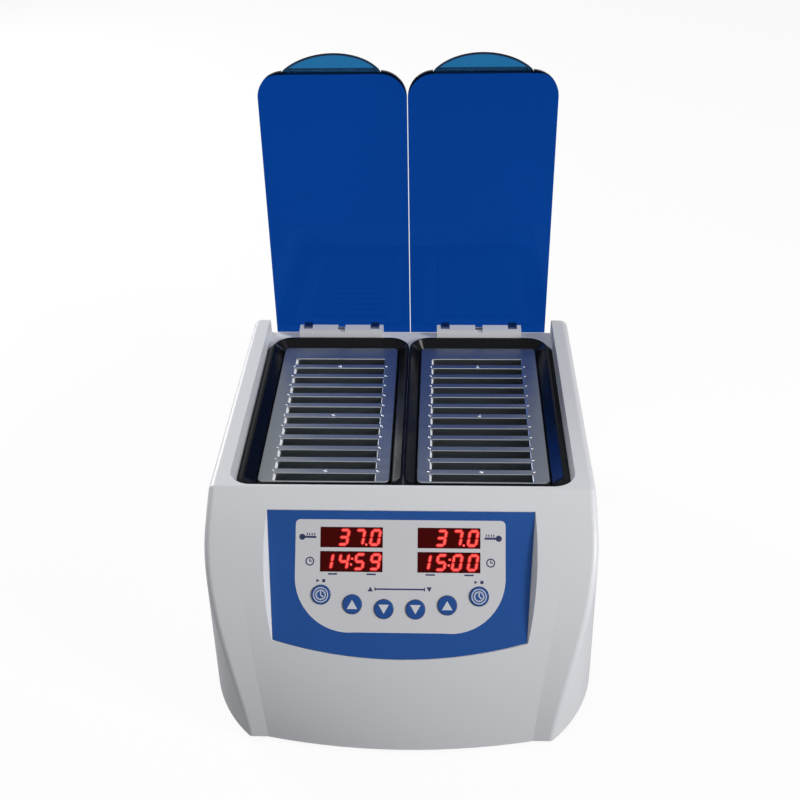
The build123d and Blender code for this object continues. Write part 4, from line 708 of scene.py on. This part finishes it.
light_ink_material = made_material("light_ink", (0.66, 0.68, 0.74), 0.4, clouds=300.0, grain=3000.0)
for key in KEYS:
    x, s = panel_spot(key)
    if "clock" in key:
        loops = ring(x, s, *CLOCK_RING) + ring(x, s, *DIAL_RING)
        near, far = DIAL_TICKS
        for hour in range(12):
            aside = math.cos(hour * math.pi / 6)
            below = math.sin(hour * math.pi / 6)
            loops.append(bar(x + near * aside, s + near * below, x + far * aside, s + far * below,
                             TICK_STROKE))
        loops.append(bar(x, s + HAND_TAIL, x, s - MINUTE_HAND, HAND_STROKE))
        loops.append(bar(x, s, x + HOUR_HAND[0], s + HOUR_HAND[1], HAND_STROKE))
    else:
        loops = [triangle(x, s, KEY_MARK_WIDTH, KEY_MARK_HEIGHT, "up" in key)]
    verts, faces = film(loops, KEY_PROUD - FILM, KEY_PROUD + FILM)
    add_piece(key + "_mark", verts, faces, light_ink_material, key + "_body", "light_label")

# Panel symbols: small dark blue marks pressed on the light field. Each side has a thermometer beside one
# display, a clock face beside the other, two dashes under it, and a play and stop mark over the clock key.
SYMBOL_GAP = 0.0028
THERMOMETER_LENGTH = 0.0092
STEM_STROKE = 0.0014
BULB_RADIUS = 0.0020
TICK_COUNT = 4
FIRST_TICK = 0.0012
TICK_PITCH = 0.0016
TICK_SPAN = (0.0011, 0.0026)
SMALL_CLOCK_MIDDLE = 0.0040
SMALL_CLOCK_RING = (0.0021, 0.0029)
SMALL_MINUTE_HAND = 0.0016
SMALL_HOUR_HAND = 0.0013
DASH_DROP = 0.0080
DASHES = ((-0.0150, -0.0090), (0.0100, 0.0160))
PRINT_STROKE = 0.0010
PLAY_RISE = 0.0090
PLAY = ((-0.0030, -0.0011), (-0.0008, 0.0), (-0.0030, 0.0011))
STOP = (0.0008, 0.0028)
STOP_WIDTH = 0.0020

ink_material = made_material("dark_blue_ink", (0.025, 0.035, 0.110), 0.45, tone=0.06, clouds=300.0,
                             grain=3000.0)
for side, sign in (("left", -1), ("right", 1)):
    x, s = panel_spot(side + "_temperature_display")
    low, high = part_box(side + "_temperature_display")
    edge = x + sign * ((high.x - low.x) / 2 + SYMBOL_GAP)
    bulb = edge + sign * THERMOMETER_LENGTH
    loops = [disc(bulb, s, BULB_RADIUS), bar(edge, s, bulb, s, STEM_STROKE)]
    for tick in range(TICK_COUNT):
        tick_x = edge + sign * (FIRST_TICK + tick * TICK_PITCH)
        loops.append(bar(tick_x, s - TICK_SPAN[0], tick_x, s - TICK_SPAN[1], TICK_STROKE))
    x, s = panel_spot(side + "_time_display")
    centre = edge + sign * SMALL_CLOCK_MIDDLE
    loops.extend(ring(centre, s, *SMALL_CLOCK_RING))
    loops.append(bar(centre, s + HAND_TAIL, centre, s - SMALL_MINUTE_HAND, TICK_STROKE))
    loops.append(bar(centre, s, centre + SMALL_HOUR_HAND, s, TICK_STROKE))
    below = s + DASH_DROP
    for start, stop in DASHES:
        loops.append(bar(x + start, below, x + stop, below, PRINT_STROKE))
    x, s = panel_spot(side + "_clock_key")
    above = s - PLAY_RISE
    loops.append([(x + shift, above + drop) for shift, drop in PLAY])
    loops.append(bar(x + STOP[0], above, x + STOP[1], above, STOP_WIDTH))
    verts, faces = film(loops, -FILM, FILM)
    add_piece(side + "_panel_symbols", verts, faces, ink_material, "housing", "blue_label")

# Preset symbol: a line with a small stop at each end, between an up and a down triangle.
# It's pressed in the same dark blue on the light field, midway between the two clock keys.
PRESET_RISE = 0.0040
PRESET_HALF = 0.0160
PRESET_STOP = 0.0012
PRESET_STOP_STROKE = 0.0006
PRESET_TIP = (0.0190, 0.0034, 0.0031)

x, s = panel_spot("left_clock_key")
row = s - PRESET_RISE
tip_x, tip_width, tip_height = PRESET_TIP
loops = [bar(-PRESET_HALF, row, PRESET_HALF, row, PRINT_STROKE)]
for sign in (-1, 1):
    loops.append(triangle(sign * tip_x, row, tip_width, tip_height, sign < 0))
for end in (-PRESET_HALF, PRESET_HALF):
    loops.append(bar(end, row - PRESET_STOP, end, row + PRESET_STOP, PRESET_STOP_STROKE))
verts, faces = film(loops, -FILM, FILM)
add_piece("preset_symbol", verts, faces, ink_material, "housing", "blue_label")

# Rocker marks: a stroke and a ring pressed in white on the two slopes of the power switch's rocker.
# The upper slope leans by the rocker's whole tilt at rest, and the lower one stands upright.
ROCKER_TILT = math.radians(14.0)
ROCKER_UPPER = np.array((-0.0200, 0.143006, 0.056777))
ROCKER_LOWER = np.array((-0.0200, 0.142068, 0.049134))
STROKE_HALF = 0.0013
STROKE_WIDTH = 0.0006
ROCKER_RING = (0.0009, 0.0014)
RING_PARTS = 20
for name, spot, lean, loops in (
        ("rocker_stroke", ROCKER_UPPER, ROCKER_TILT,
         [bar(0.0, -STROKE_HALF, 0.0, STROKE_HALF, STROKE_WIDTH)]),
        ("rocker_ring", ROCKER_LOWER, 0.0, ring(0.0, 0.0, *ROCKER_RING, RING_PARTS))):
    face = (spot, np.array((-1.0, 0.0, 0.0)), np.array((0.0, -math.sin(lean), -math.cos(lean))),
            np.array((0.0, math.cos(lean), -math.sin(lean))))
    verts, faces = film(loops, -FILM, FILM, face)
    add_piece(name, verts, faces, light_ink_material, "rocker_body", "light_label")

# Display digits: slanted seven-segment figures that glow red behind the windows.
# Each lit segment is a thin bar with pointed ends, and a wider dim copy under it is its halo.
DIGIT_HEIGHT = 0.0092
DIGIT_WIDTH = 0.0051
DIGIT_PITCH = 0.0102
DIGIT_STROKE = 0.00130
DIGIT_SLANT = math.tan(math.radians(10.0))
DIGIT_SHIFT = 0.0002
SEGMENT_GAP = 0.0002
HALO_STROKE = 0.0027
HALO_GROWTH = 0.0008
POINT_RADIUS = 0.00075
POINT_SIDES = 12
POINT_SHARE = 0.42
COLON_SHARE = 0.2
SEGMENTS = {
    "a": (-1, 2, 1, 2), "b": (1, 2, 1, 0), "c": (1, 0, 1, -2), "d": (-1, -2, 1, -2),
    "e": (-1, 0, -1, -2), "f": (-1, 2, -1, 0), "g": (-1, 0, 1, 0),
}
FIGURES = {"0": "abcdef", "1": "bc", "3": "abcdg", "4": "bcfg", "5": "acdfg", "7": "abc", "9": "abcdfg"}
READINGS = {
    "left_temperature_display": (" 370", 2, False),
    "left_time_display": ("1459", None, True),
    "right_temperature_display": (" 370", 2, False),
    "right_time_display": ("1500", None, True),
}


def segment_outline(x, s, code, stroke, growth):
    """Outline of one segment: a bar between two corners of the figure, pointed at both ends.

    The corner signs place the ends at half the width and half the height, the gap less the growth trims
    the ends, and the slant moves each point across by its height above the middle.
    """
    x0, up0, x1, up1 = SEGMENTS[code]
    first = np.array((x0 * DIGIT_WIDTH / 2, up0 * DIGIT_HEIGHT / 4))
    last = np.array((x1 * DIGIT_WIDTH / 2, up1 * DIGIT_HEIGHT / 4))
    along = (last - first) / np.linalg.norm(last - first)
    aside = np.array((-along[1], along[0])) * stroke / 2
    first = first + along * (SEGMENT_GAP - growth)
    last = last - along * (SEGMENT_GAP - growth)
    point = along * stroke / 2
    flat = np.array((first, first + point + aside, last - point + aside, last,
                     last - point - aside, first + point - aside))
    return np.stack([x + flat[:, 0] + flat[:, 1] * DIGIT_SLANT, s - flat[:, 1]], 1)


def shader_and_colour(material):
    """Shader of a made material, and the output that feeds its colour."""
    shader = material.node_tree.nodes["Principled BSDF"]
    return shader, shader.inputs["Base Color"].links[0].from_socket


def glowing(name, colour, strength):
    """Red light of the display, brighter in places by soft clouds."""
    material = made_material(name, colour, 0.3, tone=0.10, clouds=500.0,
                             constants={"Emission Strength": strength})
    shader, clouded = shader_and_colour(material)
    material.node_tree.links.new(clouded, shader.inputs["Emission Color"])
    return material


lit_material = glowing("lit_segment", (1.0, 0.075, 0.065), 1.05)
halo_material = glowing("segment_halo", (0.30, 0.002, 0.001), 0.75)
for name, (text, point_after, colon) in READINGS.items():
    x, s = panel_spot(name)
    lit = []
    halo = []
    for place, figure in enumerate(text):
        centre = x + (place - (len(text) - 1) / 2) * DIGIT_PITCH + DIGIT_SHIFT
        for code in FIGURES.get(figure, ""):
            lit.append(segment_outline(centre, s, code, DIGIT_STROKE, 0.0))
            halo.append(segment_outline(centre, s, code, HALO_STROKE, HALO_GROWTH))
        if point_after == place:
            lit.append(disc(centre + DIGIT_PITCH * POINT_SHARE, s + DIGIT_HEIGHT / 2, POINT_RADIUS,
                            POINT_SIDES))
    if colon:
        centre = x + DIGIT_SHIFT
        for up in (-1, 1):
            rise = up * DIGIT_HEIGHT * COLON_SHARE
            lit.append(disc(centre + rise * DIGIT_SLANT, s - rise, POINT_RADIUS, POINT_SIDES))
    verts, faces = film(halo, FILM * 0.5, FILM)
    add_piece(name + "_halo", verts, faces, halo_material, "housing", "red_window")
    verts, faces = film(lit, FILM * 1.5, FILM * 3)
    add_piece(name + "_figures", verts, faces, lit_material, "housing", "red_window")

# Fuse: a short clear glass tube.
# It lies in the cradle of the fuse drawer.
glass_material = made_material("fuse_glass", (0.9, 0.93, 0.93), 0.05, tone=0.02,
                               constants={"Transmission Weight": 0.9})
dress(glass_material, "fuse")

# Lids: clear blue acrylic sheet, three millimetres thick, bent at the free end into a finger tab. The
# polished cut edges look nearly black, because they show the depth of the sheet; that darkness is painted
# shade, a near-black blue mixed into the colour at the edges, in the crease of the bend and in a band under
# the outline, and the tab carries a lighter painted blue for the light it catches. Dark blue knuckles are
# bonded to the lids and turn on steel pins in the hinge blocks.
# Painted shade: the knuckles get a deep blue that stands in for the dark shade lines on the lids just above
# the hinge blocks.
knuckle_shade_material = made_material("blue_knuckle", (0.0020, 0.018, 0.090), 0.30, tone=0.06, clouds=120.0,
                                 grain=1500.0)
dress(knuckle_shade_material, "left_lid_knuckles", "right_lid_knuckles")
# Partly painted shade: the hinge pins' dark steel colour also makes the notch in each hinge block read as
# shaded.
pin_notch_shade_material = made_material("dark_steel", (0.07, 0.075, 0.09), 0.30, tone=0.10, clouds=200.0,
                                    grain=2500.0, constants=METAL)
dress(pin_notch_shade_material, "hinge_pins")
LID_LEAN = math.radians(4.0)
TAB_LEAN = math.radians(72.0)
LID_FOOT = Vector((0.0, 0.1422, 0.1255))
LID_LENGTH = 0.2146
LID_CORNER = 0.0195
LID_INNER_X = 0.0003
LID_OUTER_X = 0.1139
FOLD_LOW = 0.2122
FOLD_HIGH = 0.2140
BEND_LOW = 0.2108
BEND_HIGH = 0.2165
TAB_MIDDLE = 0.05525
TAB_HALF = 0.03625
TAB_LENGTH = 0.0215
TAB_ROUND = (TAB_HALF**2 + TAB_LENGTH**2) / (2 * TAB_LENGTH)
EDGE_DEPTH = 0.0024
TAB_EDGE_DEPTH = 0.0009
TURN_START = 0.75
TURN_END = 0.45
# Painted colours of the sheet: a lighter blue for the light the tab catches, and a near-black blue for the
# shade at the edges.
TAB_PAINTED_LIGHT = (0.0035, 0.136, 0.335, 1.0)
EDGE_PAINTED_SHADE = (0.0006, 0.0020, 0.0080, 1.0)


def lean_normal(lean):
    """Normal of a sheet that leans back from upright by an angle."""
    return Vector((0.0, -math.cos(lean), math.sin(lean)))


def lean_rise(lean):
    """Direction up a sheet that leans back from upright by an angle."""
    return Vector((0.0, math.sin(lean), math.cos(lean)))


def measured(tree, source, direction):
    """Dot product of a vector output with a direction, which is fixed or an output too."""
    node = tree.nodes.new("ShaderNodeVectorMath")
    node.operation = "DOT_PRODUCT"
    tree.links.new(source, node.inputs[0])
    if isinstance(direction, Vector):
        node.inputs[1].default_value = direction
    else:
        tree.links.new(direction, node.inputs[1])
    return node.outputs["Value"]


def beyond(tree, value, start):
    """How far a value lies past a start, or 0."""
    return figured(tree, "MAXIMUM", figured(tree, "SUBTRACT", value, start), 0.0)


def distance(tree, across, along):
    """Root of the sum of two squares."""
    squares = [figured(tree, "POWER", side, 2.0) for side in (across, along)]
    return figured(tree, "SQRT", figured(tree, "ADD", *squares))


def lid_masks(tree):
    """Masks of the dark edges and of the tab, both 0 to 1.

    With x across the lid and h up its plate, a point is on the tab where h lies past the bend and x within
    the tab's width. The first mask is painted shade for the dark edges: it rises where the surface turns
    away from the sheet's normal outside the bend, and it is set in the crease of the bend and in a narrow
    band under the upper outline. The band lies where a point moved up by the edge's depth falls outside a
    rectangle with round corners, and on the tab outside the circle of its rim.
    """
    place = tree.nodes.new("ShaderNodeTexCoord")
    spot = place.outputs["Object"]
    parts = tree.nodes.new("ShaderNodeSeparateXYZ")
    tree.links.new(spot, parts.inputs[0])
    across = figured(tree, "ABSOLUTE", parts.outputs["X"])
    rise = lean_rise(LID_LEAN)
    height = figured(tree, "SUBTRACT", measured(tree, spot, rise), LID_FOOT.dot(rise))
    within = figured(tree, "COMPARE", across, TAB_MIDDLE, TAB_HALF)
    past = figured(tree, "GREATER_THAN", height, (FOLD_LOW + FOLD_HIGH) / 2)
    tab = figured(tree, "MULTIPLY", past, within)
    crease, bend = (
        figured(tree, "MULTIPLY", within,
                figured(tree, "COMPARE", height, (low + high) / 2, (high - low) / 2))
        for low, high in ((FOLD_LOW, FOLD_HIGH), (BEND_LOW, BEND_HIGH)))

    middle = (LID_INNER_X + LID_OUTER_X) / 2
    flat = (LID_OUTER_X - LID_INNER_X) / 2 - LID_CORNER
    beside = beyond(tree, figured(tree, "ABSOLUTE", figured(tree, "SUBTRACT", across, middle)), flat)
    above = beyond(tree, height, LID_LENGTH - LID_CORNER - EDGE_DEPTH)
    band = figured(tree, "GREATER_THAN", distance(tree, beside, above), LID_CORNER)

    tab_rise = lean_rise(TAB_LEAN)
    circle = (LID_FOOT + LID_LENGTH * rise).dot(tab_rise) + TAB_LENGTH - TAB_ROUND
    aside = figured(tree, "ABSOLUTE", figured(tree, "SUBTRACT", across, TAB_MIDDLE))
    reach = distance(tree, aside, beyond(tree, measured(tree, spot, tab_rise), circle))
    rim = figured(tree, "MULTIPLY", tab, figured(tree, "GREATER_THAN", reach, TAB_ROUND - TAB_EDGE_DEPTH))

    sheet = tree.nodes.new("ShaderNodeMix")
    sheet.data_type = "VECTOR"
    sheet.inputs[4].default_value = lean_normal(LID_LEAN)
    sheet.inputs[5].default_value = lean_normal(TAB_LEAN)
    tree.links.new(tab, sheet.inputs["Factor"])
    facing = measured(tree, place.outputs["Normal"], sheet.outputs[1])
    turned = tree.nodes.new("ShaderNodeMapRange")
    turned.inputs["From Min"].default_value = TURN_START
    turned.inputs["From Max"].default_value = TURN_END
    tree.links.new(figured(tree, "ABSOLUTE", facing), turned.inputs["Value"])
    dark = figured(tree, "MULTIPLY", turned.outputs["Result"], figured(tree, "SUBTRACT", 1.0, bend))
    for more in (crease, rim, figured(tree, "MULTIPLY", band, figured(tree, "SUBTRACT", 1.0, within))):
        dark = figured(tree, "MAXIMUM", dark, more)
    return dark, tab


lid_material = made_material(
    "blue_acrylic", (0.0016, 0.043, 0.262), 0.03, tone=0.09, clouds=7.0, grain=60.0, spread=0.012,
    relief=0.000004,
    constants={"Transmission Weight": 1.0, "IOR": 1.49, "Specular Tint": (0.06, 0.20, 0.50, 1.0)})
tree = lid_material.node_tree
shader, previous = shader_and_colour(lid_material)
edges, tab = lid_masks(tree)
# Painted light and shade: the tab mask mixes in the lighter tab blue, and the edge mask the near-black edge
# blue.
for mask, colour in ((tab, TAB_PAINTED_LIGHT), (edges, EDGE_PAINTED_SHADE)):
    tinted = tree.nodes.new("ShaderNodeMix")
    tinted.data_type = "RGBA"
    tinted.inputs[7].default_value = colour
    tree.links.new(mask, tinted.inputs["Factor"])
    tree.links.new(previous, tinted.inputs[6])
    previous = tinted.outputs[2]
tree.links.new(previous, shader.inputs["Base Color"])
dress(lid_material, "left_lid", "right_lid")
